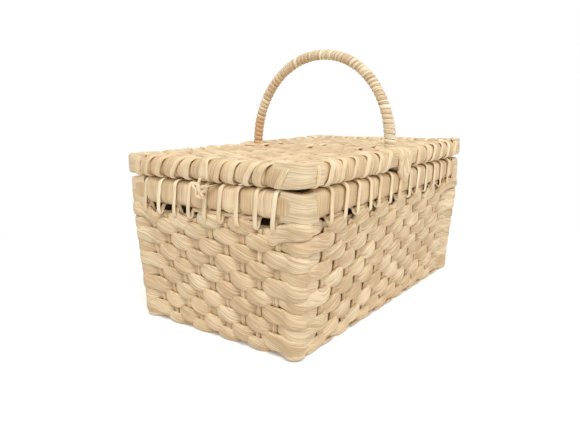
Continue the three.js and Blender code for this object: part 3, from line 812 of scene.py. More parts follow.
floor = Strands()
floor_half = [side - WALL_HALF / 2 for side in wall_half(STAKE_FOOT)]
mat(floor, stakes, (-floor_half[0], -floor_half[1]), floor_half, FLOOR_HEIGHT, FLOOR_FLATNESS)
course_strand(floor, BOTTOM_ROW_HEIGHT, 0, BOTTOM_ROW_SQUASH)
make_piece("stakes", stakes, stake_leaf, "basket", "stake_leaf", ["base_and_stakes"], **STAKE_LOOK)
make_piece("woven_floor", floor, weaver_leaf, "basket", "weaver_leaf", sides=14)

# %% [markdown]
# ## Wrapped bars
# The rim and the lid frames are square bars. Wide pieces of leaf go round them, side by side, each a
# little plump, and a pale cord binds every joint between two of them. At the corners the leaf runs
# along the bar instead. A closed loop round the bar serves for both the wide leaf and the cord.

# %% Loops round a bar
LOOP_POINTS = 44
QUARTER_POINTS = LOOP_POINTS // 4
QUARTERS = ((-1, -1), (1, -1), (1, 1), (-1, 1))
CORD_CORNER = 2.5 * MM
# A cord's hairpin below the bar: its share of the bar's half width, and of the drop
HAIRPIN = ((0.3, 0.1), (0.4, 0.5), (0.5, 0.85), (0.75, 1.0), (0.95, 0.85), (1.0, 0.4))
LOOP_WOBBLE = 0.06
LOOP_LEANS = (0.2, 1.3)
LOOP_LEAN_PHASE = 0.5
LOOP_WIDTH_SPREAD = 0.08
LOOP_THICKNESSES = (0.75, 1.3)
LOOP_SLANT = 0.08


def bar_loop(half_out, half_up, radius):
    """A rounded rectangle round a bar, from its inner face: its points and directions, as out and up."""
    rows = []
    for corner, (sign_out, sign_up) in enumerate(QUARTERS):
        for step in range(QUARTER_POINTS):
            angle = math.pi + math.pi / 2 * (corner + step / (QUARTER_POINTS - 1))
            facing = (math.cos(angle), math.sin(angle))
            rows.append((sign_out * (half_out - radius) + radius * facing[0],
                         sign_up * (half_up - radius) + radius * facing[1], *facing))
    # Spread the points evenly, so that the flat faces get their share of them
    return spread_evenly(np.array(rows), LOOP_POINTS)


def drawn_loop(half_out, half_up, drop):
    """A cord's way round a bar and in behind the top course: its points and directions, as out and up."""
    near_out, near_up = half_out - CORD_CORNER, half_up - CORD_CORNER
    points = [
        (half_out, 0), (half_out, near_up), (near_out, half_up), (0, half_up), (-near_out, half_up),
        (-half_out, near_up), (-half_out, 0), (-half_out, -near_up), (-near_out, -half_up), (0, -half_up),
    ]
    points += [(half_out * out, -half_up - drop * down) for out, down in HAIRPIN]
    points.append((half_out, -near_up))
    line = spread_evenly(np.array(points), LOOP_POINTS)
    line = (np.roll(line, 1, axis=0) + 2 * line + np.roll(line, -1, axis=0)) / 4
    line = np.roll(line, LOOP_POINTS // 2, axis=0)
    path = unit(np.roll(line, -1, axis=0) - np.roll(line, 1, axis=0))
    return np.column_stack([line, path[:, 1], -path[:, 0]])


def wind(strands, middle, outward, along, loop, places, width, thick, lean, tints):
    """Closed loops of leaf or cord round a straight bar, one at each place along it."""
    share = full_turn(len(loop))
    for place, leaf in zip(places, np.broadcast_to(width, np.shape(places))):
        wobble = 1 + draws.uniform(-LOOP_WOBBLE, LOOP_WOBBLE)
        slope = lean * draws.uniform(*LOOP_LEANS)
        drift = place - slope * np.sin(share + draws.uniform(-LOOP_LEAN_PHASE, LOOP_LEAN_PHASE))
        centre = np.outer(loop[:, 0] * wobble, outward) + np.outer(loop[:, 1], UP) + np.outer(drift, along)
        out = np.outer(loop[:, 2], outward) + np.outer(loop[:, 3], UP)
        strands.add(middle + centre, along, out,
                    leaf * (1 + draws.uniform(-LOOP_WIDTH_SPREAD, LOOP_WIDTH_SPREAD)),
                    thick * draws.uniform(*LOOP_THICKNESSES), draws.uniform(*tints),
                    draws.uniform(-LOOP_SLANT, LOOP_SLANT), closed=True)


print("loops of", LOOP_POINTS, "points")

# %% Corners of a bar
BEND_STEPS = 14
TAIL_STEPS = 8
CORE_BEND = 1.2 * MM
COVER_BEND = 4.2 * MM
COVER_THICKNESS = 3.6 * MM
COVER_TINT = (0.35, 0.65)
COVER_SLANT = 0.02
CORNER_FOLDS = 3
CORNER_FOLD_SPREAD = 0.22
CORNER_FOLD_SLOPE = (-0.14, 0.14)
CORNER_FOLD_WIDTH = (0.4, 0.62)
CORNER_FOLD_RISE = 0.7 * MM
CORNER_FOLD_THICKNESS = 0.8 * COVER_THICKNESS
CORNER_FOLD_TINT = (0.3, 0.75)
CORNER_FOLD_SLANT = (0.0, 0.12)
CORNER_SIGNS = ((1, 1), (-1, 1), (-1, -1), (1, -1))
FRONT, FAR_END, BACK, NEAR_END = SIDES = range(4)
CORE_LOOK = dict(sides=24, squareness=0.4, depth=0.05)
CORNER_LOOK = dict(sides=40, squareness=0.7, depth=0.2, ridge=2.6, length=16)


def bent_line(corner, start, inset, radius, tail):
    """A line round the outside corner of a bar, some way in from its faces, with its outward directions."""
    angles = np.linspace(start, start + math.pi / 2, BEND_STEPS)
    facing = np.column_stack([np.cos(angles), np.sin(angles)])
    signs = np.sign(np.round(facing[0] + facing[-1]))
    arc = np.asarray(corner) - signs * (inset + radius) + radius * facing
    ends = tail * np.linspace(1, 0, TAIL_STEPS, endpoint=False)[:, None]
    first = arc[0] + ends * (facing[0][1], -facing[0][0])
    final = arc[-1] + ends[::-1] * (-facing[-1][1], facing[-1][0])
    out = np.vstack([np.tile(facing[0], (TAIL_STEPS, 1)), facing, np.tile(facing[-1], (TAIL_STEPS, 1))])
    return np.vstack([first, arc, final]), np.column_stack([out, np.zeros(len(out))])


def corner_block(cores, covers, corner, start, bottom, top, width, tail):
    """The bar's own corner, and the lengthwise leaf that covers it."""
    middle, tall = (bottom + top) / 2, top - bottom
    for strands, inset, radius, thick, height in (
        (cores, width / 2, CORE_BEND, width - COVER_THICKNESS / 2, tall - COVER_THICKNESS / 4),
        (covers, COVER_THICKNESS / 2, COVER_BEND, COVER_THICKNESS, tall),
    ):
        line, out = bent_line(corner, start, inset, radius, tail)
        centre = np.column_stack([line, np.full(len(line), middle)])
        strands.add(centre, UP, out, height, thick, draws.uniform(*COVER_TINT), COVER_SLANT)
    # Narrower folds of the same leaf slant over the cover
    share = np.linspace(-1, 1, len(line))
    for side in np.linspace(-1, 1, CORNER_FOLDS):
        level = middle + tall * (CORNER_FOLD_SPREAD * side + draws.uniform(*CORNER_FOLD_SLOPE) * share)
        proud = CORNER_FOLD_RISE * np.cos(math.pi / 2 * share ** 2)
        centre = np.column_stack([line + out[:, :2] * proud[:, None], level])
        covers.add(centre, UP, out, tall * draws.uniform(*CORNER_FOLD_WIDTH), CORNER_FOLD_THICKNESS,
                   draws.uniform(*CORNER_FOLD_TINT), draws.uniform(*CORNER_FOLD_SLANT))


def side_of(low, high, side):
    """Middle of a side bar's outer face, its outward and along directions, and half its length."""
    middle = (np.array(low) + np.array(high)) / 2
    half = (np.array(high) - np.array(low)) / 2
    outward = (-CROSSWISE, LENGTHWISE, CROSSWISE, -LENGTHWISE)[side]
    along = np.array([-outward[1], outward[0], 0.0])
    return middle + outward * half, outward, along, float(abs(half @ along))


print("corner covers", round(COVER_THICKNESS / MM, 1), "mm thick with", CORNER_FOLDS, "folds")

# %% Rim
RIM_WRAP_THICKNESS = 3.6 * MM
RIM_WRAP_LEAN = 0.8 * MM
RIM_WRAP_TINT = (-0.1, 0.7)
RIM_LIFT = 0.9 * MM
RIM_SWELL = 0.3 * MM
RIM_END_WRAP = 1.05
RIM_BAR_WIDTH = 12 * MM
RIM_BAR_ROUND = 4.2 * MM
RIM_CORNER_DROP = 2.2 * MM
RIM_CORNER_TAIL = 13 * MM
RIM_CORD_MARGINS = (12 * MM, 9.5 * MM)
RIM_CORD_JITTER = 1.2 * MM
RIM_CORD_TINT = (0.3, 0.8)
RIM_WRAP_LOOK = dict(sides=28, depth=0.18, ridge=2.2)
CORD_WIDTH = 3.8 * MM
CORD_THICKNESS = 1.9 * MM
CORD_STAND = 0.4 * CORD_THICKNESS
CORD_LEAN = 2.0 * MM
CORD_DROPS = (4.8 * MM, 8.2 * MM)
CORD_LOOK = dict(sides=12, depth=0.15, ridge=0.8, length=6)
LASHING_LOOK = dict(CORD_LOOK, depth=0.16)
WRAP_OVERLAP = 1.02
TWINE_WIDTH = 3.0 * MM
TWINE_DROP = 1.5 * MM
TWINE_RISE = 0.6 * MM
TWINE_SET_BACK = 2.8 * MM
TWINE_STEPS = 24
TWINE_TINT = (0.3, 0.7)
TWINE_SLANT = 0.3
AT_A_WINDOW = 0.1
INNER_CORD_SAMPLES = 4
INNER_CORD_LIFT = 0.4 * MM
INNER_CORD_HEIGHT = 3.2 * MM
INNER_CORD_TINT = 0.3
INNER_CORD_SLANT = 0.2

rim_half_up = (rim_high.z - rim_low.z) / 2 + RIM_SWELL
rim_wraps, rim_cords, rim_cores, rim_corners, twine = [Strands() for kind in range(5)]
cord_half = (RIM_BAR_WIDTH / 2 + CORD_STAND, rim_half_up + CORD_STAND)
rim_cord_loops = [drawn_loop(*cord_half, drop) for drop in CORD_DROPS]
wrap_inset = RIM_WRAP_THICKNESS / 3
wrap_loop = bar_loop(RIM_BAR_WIDTH / 2 - wrap_inset, rim_half_up - wrap_inset, RIM_BAR_ROUND)
for side, count in enumerate(SIDE_STAKES):
    long_side = side % 2 == 0
    face, outward, along, half = side_of(rim_low, rim_high, side)
    bar = (face - outward * RIM_BAR_WIDTH / 2 + UP * RIM_LIFT, outward, along)
    straight = wall_half(rim_low.z)[side % 2] - CORNER_RADIUS - RIM_CORD_MARGINS[side % 2]
    pitch = 2 * straight / (count - 1)
    # The cords lie between the stakes on the long sides and over them on the short ends
    spaces = np.arange(count - 1) + 0.5 if long_side else np.arange(count)
    cords = straight * (2 * spaces / (count - 1) - 1)
    cords = cords + draws.uniform(-RIM_CORD_JITTER, RIM_CORD_JITTER, len(cords))
    edges = np.concatenate([[cords[0] - pitch * RIM_END_WRAP], cords, [cords[-1] + pitch * RIM_END_WRAP]])
    wraps = (edges[1:] + edges[:-1]) / 2
    widths = np.diff(edges) * WRAP_OVERLAP
    wind(rim_wraps, *bar, wrap_loop, wraps, widths, RIM_WRAP_THICKNESS, RIM_WRAP_LEAN, RIM_WRAP_TINT)
    cord_loop = rim_cord_loops[side % 2]
    wind(rim_cords, *bar, cord_loop, cords, CORD_WIDTH, CORD_THICKNESS, CORD_LEAN, RIM_CORD_TINT)
    # A thin twined leaf fills the spaces below the rim that aren't windows
    first_space = SIDE_ENDS[side] - count + (1.0 if long_side else 0.5)
    share = np.linspace(0, 1, TWINE_STEPS)[:, None]
    rise = UP * (rim_low.z - face[2] - TWINE_DROP + TWINE_RISE * np.sin(math.pi / 2 * share ** 2))
    for space, (start, end) in enumerate(zip(cords[:-1], cords[1:])):
        if np.min(np.abs(WINDOWS - first_space - space)) < AT_A_WINDOW:
            continue
        centre = face - outward * TWINE_SET_BACK + along * (start + (end - start) * share) + rise
        twine.add(centre, UP, outward, TWINE_WIDTH, CORD_THICKNESS, draws.uniform(*TWINE_TINT), TWINE_SLANT)
bottom, top = rim_low.z + RIM_LIFT - RIM_CORNER_DROP, rim_high.z + RIM_LIFT
for corner, (sign_x, sign_y) in enumerate(CORNER_SIGNS):
    place = (sign_x * rim_high.x, sign_y * rim_high.y)
    corner_block(rim_cores, rim_corners, place, corner * math.pi / 2, bottom, top, RIM_BAR_WIDTH,
                 RIM_CORNER_TAIL)

inner_line, inner_out = wall_line(np.arange(0, STAKES, 1 / INNER_CORD_SAMPLES), rim_low.z)
inner_line = inner_line - inner_out * WALL_HALF + UP * INNER_CORD_LIFT
twine.add(inner_line, UP, inner_out, INNER_CORD_HEIGHT, CORD_THICKNESS, INNER_CORD_TINT, INNER_CORD_SLANT,
          closed=True)
make_piece("rim_twine", twine, weaver_leaf, "basket", "weaver_leaf", **CORD_LOOK)
make_piece("rim_leaf", rim_wraps, bar_leaf, "basket", "bar_leaf", ["rim_bar"], **RIM_WRAP_LOOK)
make_piece("rim_corner_cores", rim_cores, corner_leaf, "basket", "bar_leaf", **CORE_LOOK)
make_piece("rim_corners", rim_corners, corner_leaf, "basket", "bar_leaf", **CORNER_LOOK)
rim_lashings = [f"rim_lashing_{side}" for side in ("front", "right", "back", "left")]
make_piece("rim_cords", rim_cords, lashing_cord, "basket", "lashing_cord", rim_lashings, **LASHING_LOOK)

# %% [markdown]
# ## Lids
# Each half lid is a bar frame like the rim's, wrapped and bound the same way, with a plaited panel.
# The bar beside the bridge has square ends and no cord of its own, since the hinge loops bind it.

# %% Lids
LID_BAR_WIDTH = 13 * MM
LID_BAR_ROUND = 4.6 * MM
LID_WRAP_THICKNESS = 5.6 * MM
LID_WRAP_JITTER = 2.5 * MM
LID_WRAP_LEAN = 2.0 * MM
LID_WRAP_TINT = (-0.05, 0.75)
LID_SWELL = 0.7 * MM
LID_SAG = 0.8 * MM
LID_CORNER_DROP = 0.8 * MM
LID_CORNER_RISE = 1.2 * MM
LID_CORNER_BLOCK = 17 * MM
LID_CORNER_TAIL = 18.5 * MM
LID_CORD_PITCH = 17.5 * MM
LID_END_PITCH = 13.8 * MM
LID_CORD_WIDTHS = (3.8 * MM, 6.4 * MM)
LID_CORD_LEAN = 5.0 * MM
LID_CORD_TINT = (0.1, 0.6)
LID_CORD_OUT = 0.3 * CORD_THICKNESS
LID_CORD_UP = 0.1 * CORD_THICKNESS
SQUARE_END_STEPS = 12
SQUARE_END_LENGTH = 25.5 * MM
SQUARE_END_TINT = 0.5
HINGE_BAR_END = 11 * MM
HINGE_WRAP_THICKNESS = LID_WRAP_THICKNESS / 2
HINGE_WRAP_OVERLAP = 1.2
PANEL_DEPTH = 5.2 * MM
PANEL_RELIEF = 1.35
PANEL_REACH = 1.6 * MM
LID_WRAP_LOOK = dict(sides=28, depth=0.2, ridge=2.2)
PANEL_LOOK = dict(sides=28, squareness=0.85, depth=0.55, ridge=2.4, length=22)


def make_lid(name, hinge_side):
    hinge_sign = 1 if hinge_side == FAR_END else -1
    low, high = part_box(f"{name}_frame")
    half_up = (high.z - low.z) / 2 + LID_SWELL
    wraps, cords, cores, corners, panel, bars = [Strands() for kind in range(6)]
    inset = LID_WRAP_THICKNESS / 3
    loop = bar_loop(LID_BAR_WIDTH / 2 - inset, half_up - inset, LID_BAR_ROUND)
    cord_loop = bar_loop(LID_BAR_WIDTH / 2 + LID_CORD_OUT, half_up + LID_CORD_UP, LID_BAR_ROUND)
    for side in SIDES:
        face, outward, along, half = side_of(low, high, side)
        bar = (face - outward * LID_BAR_WIDTH / 2 - UP * LID_SAG, outward, along)
        hinged = side == hinge_side
        reach = half - (HINGE_BAR_END if hinged else LID_CORNER_BLOCK)
        pitch = LID_CORD_PITCH if hinged or side in (FRONT, BACK) else LID_END_PITCH
        count = round(2 * reach / pitch)
        edges = np.linspace(-reach, reach, count + 1)
        edges[1:-1] += draws.uniform(-LID_WRAP_JITTER, LID_WRAP_JITTER, count - 1)
        widths = np.diff(edges) * (HINGE_WRAP_OVERLAP if hinged else WRAP_OVERLAP)
        thick = HINGE_WRAP_THICKNESS if hinged else LID_WRAP_THICKNESS
        wind(wraps, *bar, loop, (edges[1:] + edges[:-1]) / 2, widths, thick, LID_WRAP_LEAN, LID_WRAP_TINT)
        if not hinged:
            widths = draws.uniform(*LID_CORD_WIDTHS, len(edges))
            wind(cords, *bar, cord_loop, edges, widths, CORD_THICKNESS, LID_CORD_LEAN, LID_CORD_TINT)
    for corner, (sign_x, sign_y) in enumerate(CORNER_SIGNS):
        edge_x = high.x if sign_x > 0 else low.x
        if sign_x == hinge_sign:
            ends = np.linspace(edge_x - sign_x * SQUARE_END_LENGTH, edge_x, SQUARE_END_STEPS)
            line = np.column_stack([ends, np.full(SQUARE_END_STEPS, sign_y * (high.y - LID_BAR_WIDTH / 2)),
                                    np.full(SQUARE_END_STEPS, (low.z + high.z) / 2)])
            cores.add(line, UP, sign_y * CROSSWISE, high.z - low.z, LID_BAR_WIDTH, SQUARE_END_TINT,
                      COVER_SLANT)
        else:
            place = (edge_x, sign_y * high.y)
            corner_block(cores, corners, place, corner * math.pi / 2, low.z - LID_CORNER_DROP,
                         high.z + LID_CORNER_RISE, LID_BAR_WIDTH, LID_CORNER_TAIL)
    panel_low, panel_high = [np.array(corner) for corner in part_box(f"{name}_panel")]
    mat(panel, bars, panel_low - PANEL_REACH, panel_high + PANEL_REACH, high.z - PANEL_DEPTH, PANEL_RELIEF)
    make_piece(f"{name}_leaf", wraps, bar_leaf, name, "bar_leaf", [f"{name}_frame"], **LID_WRAP_LOOK)
    make_piece(f"{name}_corner_cores", cores, corner_leaf, name, "bar_leaf", **CORE_LOOK)
    make_piece(f"{name}_corners", corners, corner_leaf, name, "bar_leaf", **CORNER_LOOK)
    lashings = [f"{name}_lashing_{edge}" for edge in ("end", "front", "back")]
    make_piece(f"{name}_cords", cords, lashing_cord, name, "lashing_cord", lashings, **LASHING_LOOK)
    make_piece(f"{name}_weave", panel, weaver_leaf, name, "weaver_leaf", [f"{name}_panel"], **PANEL_LOOK)
    make_piece(f"{name}_stakes", bars, stake_leaf, name, "stake_leaf", **STAKE_LOOK)


make_lid("near_lid", hinge_side=FAR_END)
make_lid("far_lid", hinge_side=NEAR_END)

# %% [markdown]
# ## Handle
# A strip of leaf is wound closely round a hoop of cane. The winding is one strand on a helix whose
# axis is the hoop, with the strip's width along the hoop, so each turn shows as a plump band. The
# leaf is painted paler towards the front leg, a painted highlight where the light falls, and darker
# towards the back leg, a painted shade; the back foot is also browner.

# %% Handle
HANDLE_Y = -2.9 * MM
HANDLE_HALF_SPACING = 73 * MM
HANDLE_FULLNESS = 2.05
HANDLE_LEAN = 3.7 * MM
HANDLE_LEAN_POWER = 1.5
HANDLE_CORE = 3.2 * MM
HANDLE_TURNS = 58
ARCH_STEPS = 4000
TURN_STEPS = 20
STRIP_THICKNESS = 2.3 * MM
STRIP_SEAT = 0.12 * STRIP_THICKNESS
STRIP_JITTER = 0.12 * MM
STRIP_TINT_JITTER = 0.35
FOOT_FLARE = 0.7 * MM
FOOT_TURNS = 6
AGED_TURNS = 6
AGED_TINT = -0.45
# How strongly the winding is painted paler on the lit front leg and darker towards the back leg: a painted
# highlight and painted shade
FRONT_PAINTED_LIGHT = 0.6
CANE_STEPS = 90
CANE_TINT = 0.2
STRIP_LOOK = dict(sides=16, depth=0.14, ridge=1.0, length=12)
CANE_LOOK = dict(sides=14, depth=0.1)
bridge_low, bridge_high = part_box("bridge_bar")
bridge_x = (bridge_low.x + bridge_high.x) / 2
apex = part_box("handle_core")[1].z - HANDLE_CORE


def handle_line(count):
    """Evenly spaced points along the arch from the front leg's foot to the back one's, and its length."""
    angle = np.linspace(-math.pi / 2, math.pi / 2, ARCH_STEPS)
    power = 2 / HANDLE_FULLNESS
    across = np.sign(angle) * np.abs(np.sin(angle)) ** power
    rise = np.clip(np.cos(angle), 0, 1) ** power
    line = np.column_stack([
        bridge_x + HANDLE_LEAN * rise ** HANDLE_LEAN_POWER,
        HANDLE_Y + HANDLE_HALF_SPACING * across,
        bridge_high.z + (apex - bridge_high.z) * rise,
    ])
    length = run_length(line)
    return between(line, length, np.linspace(0, length[-1], count)), length[-1]


def hoop_directions(line):
    """Directions along the hoop, out of its plane and out of its arch, at each of its points."""
    tangent = unit(np.gradient(line, axis=0))
    sideways = unit(LENGTHWISE - tangent * tangent[:, :1])
    return tangent, sideways, np.cross(sideways, tangent)


hoop, hoop_length = handle_line(HANDLE_TURNS * TURN_STEPS + 1)
tangent, sideways, outwards = hoop_directions(hoop)
turn = np.arange(len(hoop)) / TURN_STEPS
loose = sway(draws.uniform(-STRIP_JITTER, STRIP_JITTER, HANDLE_TURNS + 2), turn)
angle = 2 * math.pi * turn
radial = sideways * np.cos(angle)[:, None] + outwards * np.sin(angle)[:, None]
radius = HANDLE_CORE + STRIP_SEAT + loose + FOOT_FLARE * np.exp(-(turn / FOOT_TURNS) ** 2)
tint = MIDDLE_TINT + sway(draws.uniform(-STRIP_TINT_JITTER, STRIP_TINT_JITTER, HANDLE_TURNS + 2), turn)
# Painted highlight and shade: the turns are paler towards the lit front leg and darker towards the back leg
tint += FRONT_PAINTED_LIGHT * (0.5 - turn / HANDLE_TURNS)
tint[turn > HANDLE_TURNS - AGED_TURNS] = AGED_TINT
strip = Strands()
strip.add(hoop + radial * radius[:, None] + tangent * (2 * loose)[:, None], tangent, radial,
          hoop_length / HANDLE_TURNS, STRIP_THICKNESS, tint)
make_piece("handle_winding", strip, wrap_leaf, "basket", "wrap_leaf", ["handle_wrap"], **STRIP_LOOK)

cane = Strands()
cane_line = handle_line(CANE_STEPS)[0]
tangent, sideways, outwards = hoop_directions(cane_line)
cane.add(cane_line, sideways, outwards, 2 * HANDLE_CORE, 2 * HANDLE_CORE, CANE_TINT)
make_piece("handle_cane", cane, stake_leaf, "basket", "handle_cane", ["handle_core"], **CANE_LOOK)

# %% [markdown]
# ## Bridge and hinges
# The bridge carries the handle and both lids. Leaf is wound along it, and folds of leaf run over its
# ends and down across the rim. Rings of cord stitch each lid to it and act as hinges.

# %% Bridge
BRIDGE_WRAP = 2.4 * MM
BRIDGE_WRAP_WIDTH = 13 * MM
BRIDGE_WRAP_OVERLAP = 1.2
BRIDGE_WRAP_MARGIN = 13 * MM
BRIDGE_WRAP_LEAN = 0.8 * MM
BRIDGE_WRAP_TINT = (0.15, 0.75)
BRIDGE_ROUND = 3 * MM
BRIDGE_SEAT = 2 * MM
# The way of the leaf over an end: how far out from the lids' faces and above which level, in
# millimetres, and its share of the full width
END_WAY = (
    (-26, "top", -1.0, 1.0), (-8, "top", -0.2, 1.0), (-2.5, "top", -1.5, 1.0), (0, "top", -5, 0.98),
    (0.3, "bottom", 5, 0.9), (0.8, "rim", 0.5, 0.75), (0.8, "rim", -3, 0.6), (-0.5, "rim", -6, 0.45),
    (-3, "rim", -7, 0.35),
)
END_COVER_SPREAD = 2 * MM
END_COVER_THICKNESS = 3.0 * MM
END_COVER_TINT = 0.7
END_COVER_SLANT = 0.2
END_FOLDS = 4
END_FOLD_WIDTH = 8.0 * MM
END_FOLD_WIDTHS = (0.85, 1.15)
END_FOLD_THICKNESS = 4.2 * MM
END_FOLD_THICKNESSES = (0.8, 1.2)
END_FOLD_TWIST = 2.6 * MM
END_FOLD_TWIST_RATE = 0.9
END_FOLD_TWIST_STEP = 1.7
END_FOLD_RISE = 0.9 * MM
END_FOLD_RISE_RATE = 1.1
END_FOLD_RISE_STEP = 2.0
END_FOLD_TINT = (0.6, 1.0)
END_FOLD_SLANT = (0.1, 0.3)
FOLD_STEPS = 48

bridge_width = bridge_high.x - bridge_low.x
bridge_bottom = rim_high.z + BRIDGE_SEAT
bridge_half_up = (bridge_high.z - bridge_bottom) / 2
bridge_leaf = Strands()
bridge_loop = bar_loop(bridge_width / 2 - BRIDGE_WRAP / 2, bridge_half_up - BRIDGE_WRAP / 2, BRIDGE_ROUND)
wrap_reach = bridge_high.y - BRIDGE_WRAP_MARGIN
wrap_places = np.linspace(-wrap_reach, wrap_reach, round(2 * wrap_reach / BRIDGE_WRAP_WIDTH))
bridge_bar = ((bridge_x, 0, bridge_bottom + bridge_half_up), LENGTHWISE, CROSSWISE)
wrap_width = BRIDGE_WRAP_WIDTH * BRIDGE_WRAP_OVERLAP
wind(bridge_leaf, *bridge_bar, bridge_loop, wrap_places, wrap_width, BRIDGE_WRAP, BRIDGE_WRAP_LEAN,
     BRIDGE_WRAP_TINT)

end_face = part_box("near_lid_frame")[1].y
levels = {"top": bridge_high.z, "bottom": bridge_bottom, "rim": rim_high.z}
end_knots = np.array([
    (end_face + out * MM, levels[level] + rise * MM, share) for out, level, rise, share in END_WAY
])
place = np.linspace(0, len(END_WAY) - 1, FOLD_STEPS)
end_y, end_z, taper = between(end_knots, np.arange(len(END_WAY)), place).T
for sign in (-1, 1):
    cover = np.column_stack([np.full(FOLD_STEPS, bridge_x), sign * end_y, end_z])
    facing = unit(np.cross(np.gradient(cover, axis=0), LENGTHWISE) * sign)
    bridge_leaf.add(cover, LENGTHWISE, facing, (bridge_width + END_COVER_SPREAD) * taper,
                    END_COVER_THICKNESS, END_COVER_TINT, END_COVER_SLANT)
    for fold in range(END_FOLDS):
        spread = (fold - (END_FOLDS - 1) / 2) * (bridge_width - END_FOLD_WIDTH) / (END_FOLDS - 1)
        twist = END_FOLD_TWIST * np.sin(END_FOLD_TWIST_RATE * place + END_FOLD_TWIST_STEP * fold)
        rise = END_FOLD_RISE * np.cos(END_FOLD_RISE_RATE * place + END_FOLD_RISE_STEP * fold)
        centre = cover + np.outer(spread * taper + twist, LENGTHWISE) + facing * rise[:, None]
        path = unit(np.gradient(centre, axis=0))
        across = np.cross(path, np.cross(LENGTHWISE, path))
        bridge_leaf.add(centre, across, np.cross(path, across) * sign,
                        END_FOLD_WIDTH * draws.uniform(*END_FOLD_WIDTHS) * taper,
                        END_FOLD_THICKNESS * draws.uniform(*END_FOLD_THICKNESSES),
                        draws.uniform(*END_FOLD_TINT), draws.uniform(*END_FOLD_SLANT))
make_piece("bridge_leaf", bridge_leaf, bar_leaf, "basket", "bar_leaf", ["bridge_bar"])

# %% Hinge loops
HINGE_LOOPS = 3
HINGE_CORD_TINT = 0.5
HINGE_CORD_SLANT = 0.2
STITCH_STAND = 0.5 * MM

loops = Strands()
loop_nodes = [f"{lid}_hinge_loop_{k + 1}" for lid in ("near", "far") for k in range(HINGE_LOOPS)]
share = full_turn(LOOP_POINTS)
out = np.column_stack([np.cos(share), np.zeros(LOOP_POINTS), np.sin(share)])
for node in loop_nodes:
    low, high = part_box(node)
    ring = out * ((high.x - low.x) / 2 - CORD_THICKNESS / 2)
    ring[:, 2] = np.minimum(ring[:, 2], STITCH_STAND)
    loops.add((np.array(low) + np.array(high)) / 2 + ring, CROSSWISE, out, CORD_WIDTH, CORD_THICKNESS,
              HINGE_CORD_TINT, HINGE_CORD_SLANT, closed=True)
make_piece("hinge_cords", loops, lashing_cord, "basket", "lashing_cord", loop_nodes, **CORD_LOOK)

# %% [markdown]
# ## Closure tie
# A cord goes over the near lid's end bar and a knot of the same cord sits on the rim below it.

# %% Tie
KNOT_CORD = 3.2 * MM
KNOT_WAVE = 0.7
KNOT_TINT = (0.4, 0.7)
KNOT_SLANT = 0.3
# Each loop's middle, its half length and half height, in millimetres, and its tilt in degrees
KNOT_LOOPS = (
    (0.6, 3.2, 1.8, 3.8, 1.5, 35), (0.0, -2.8, 0.8, 3.6, 1.5, -30),
    (-1.1, 0.3, -0.4, 1.4, 4.2, 8), (-0.3, -1.2, -3.6, 2.8, 1.3, 15),
)
# The way of each loose end from the knot, in millimetres
STUB_WAYS = (
    ((0.0, 0.5, 1.0), (-0.6, 1.2, 4.0), (-0.9, -0.6, 6.6), (-0.6, -1.8, 9.4)),
    ((0.4, -3.0, 1.0), (0.6, -7.0, 3.0), (1.8, -10.0, 4.2), (4.0, -13.0, 4.6)),
)
STUB_STEPS = 24
STUB_END = 0.6 * KNOT_CORD
STUB_THICKNESS = 0.8 * KNOT_CORD
STUB_TINT = 0.5
STUB_SLANT = 0.2
LID_TIE_PLACES = (1.5 * MM, 4.2 * MM)
LID_TIE_ROUND = 3 * MM
LID_TIE_LEAN = 1.5 * MM
LID_TIE_TINT = (0.5, 0.7)

tie_low, tie_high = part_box("rim_tie")
tie_middle = (np.array(tie_low) + np.array(tie_high)) / 2
knot = Strands()
for depth, place, rise, reach, lift, tilt in KNOT_LOOPS:
    slope = math.radians(tilt)
    flat_y, flat_z = reach * np.cos(share), lift * np.sin(share)
    centre = tie_middle + MM * np.column_stack([
        depth + KNOT_WAVE * np.sin(2 * share),
        place + flat_y * math.cos(slope) - flat_z * math.sin(slope),
        rise + flat_y * math.sin(slope) + flat_z * math.cos(slope),
    ])
    knot.add(centre, LENGTHWISE, unit(centre - centre.mean(axis=0)), KNOT_CORD, KNOT_CORD,
             draws.uniform(*KNOT_TINT), KNOT_SLANT, closed=True)
for way in np.array(STUB_WAYS) * MM:
    centre = tie_middle + between(way, np.arange(len(way)), np.linspace(0, len(way) - 1, STUB_STEPS))
    knot.add(centre, LENGTHWISE, CROSSWISE, np.linspace(KNOT_CORD, STUB_END, STUB_STEPS), STUB_THICKNESS,
             STUB_TINT, STUB_SLANT)
make_piece("rim_knot", knot, lashing_cord, "basket", "lashing_cord", ["rim_tie"], **CORD_LOOK)

lid_low, lid_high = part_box("near_lid_frame")
tie = Strands()
face, outward, along, half = side_of(lid_low, lid_high, NEAR_END)
lid_half_up = (lid_high.z - lid_low.z) / 2
tie_loop = bar_loop(LID_BAR_WIDTH / 2 + CORD_STAND, lid_half_up + CORD_STAND, LID_TIE_ROUND)
tie_bar = (face - outward * LID_BAR_WIDTH / 2, outward, along)
wind(tie, *tie_bar, tie_loop, LID_TIE_PLACES, CORD_WIDTH, CORD_THICKNESS, LID_TIE_LEAN, LID_TIE_TINT)
make_piece("lid_tie_cord", tie, lashing_cord, "near_lid", "lashing_cord", ["lid_tie"], **CORD_LOOK)

# %% [markdown]
# ## Studio
# The basket stands on a pale floor in soft light from all round, with a large lamp above the camera's
# left. The floor keeps the basket's shadow and is otherwise white to the camera.

# %% Floor
FLOOR_HALF = 3.0
FLOOR_DEPTH = -0.3 * MM
FLOOR_COLOUR = (0.85, 0.85, 0.85, 1)
FLOOR_GLOW = 0.2
FADE_RANGE = (0.22, 0.5)


def seen_directly(tree):
    """One for rays that show the background in the picture, nought for rays that light the basket."""
    rays = tree.nodes.new("ShaderNodeLightPath").outputs
    mirrored = math_node(tree, "MAXIMUM", rays["Is Glossy Ray"], rays["Is Transmission Ray"])
    return math_node(tree, "MAXIMUM", rays["Is Camera Ray"], mirrored)


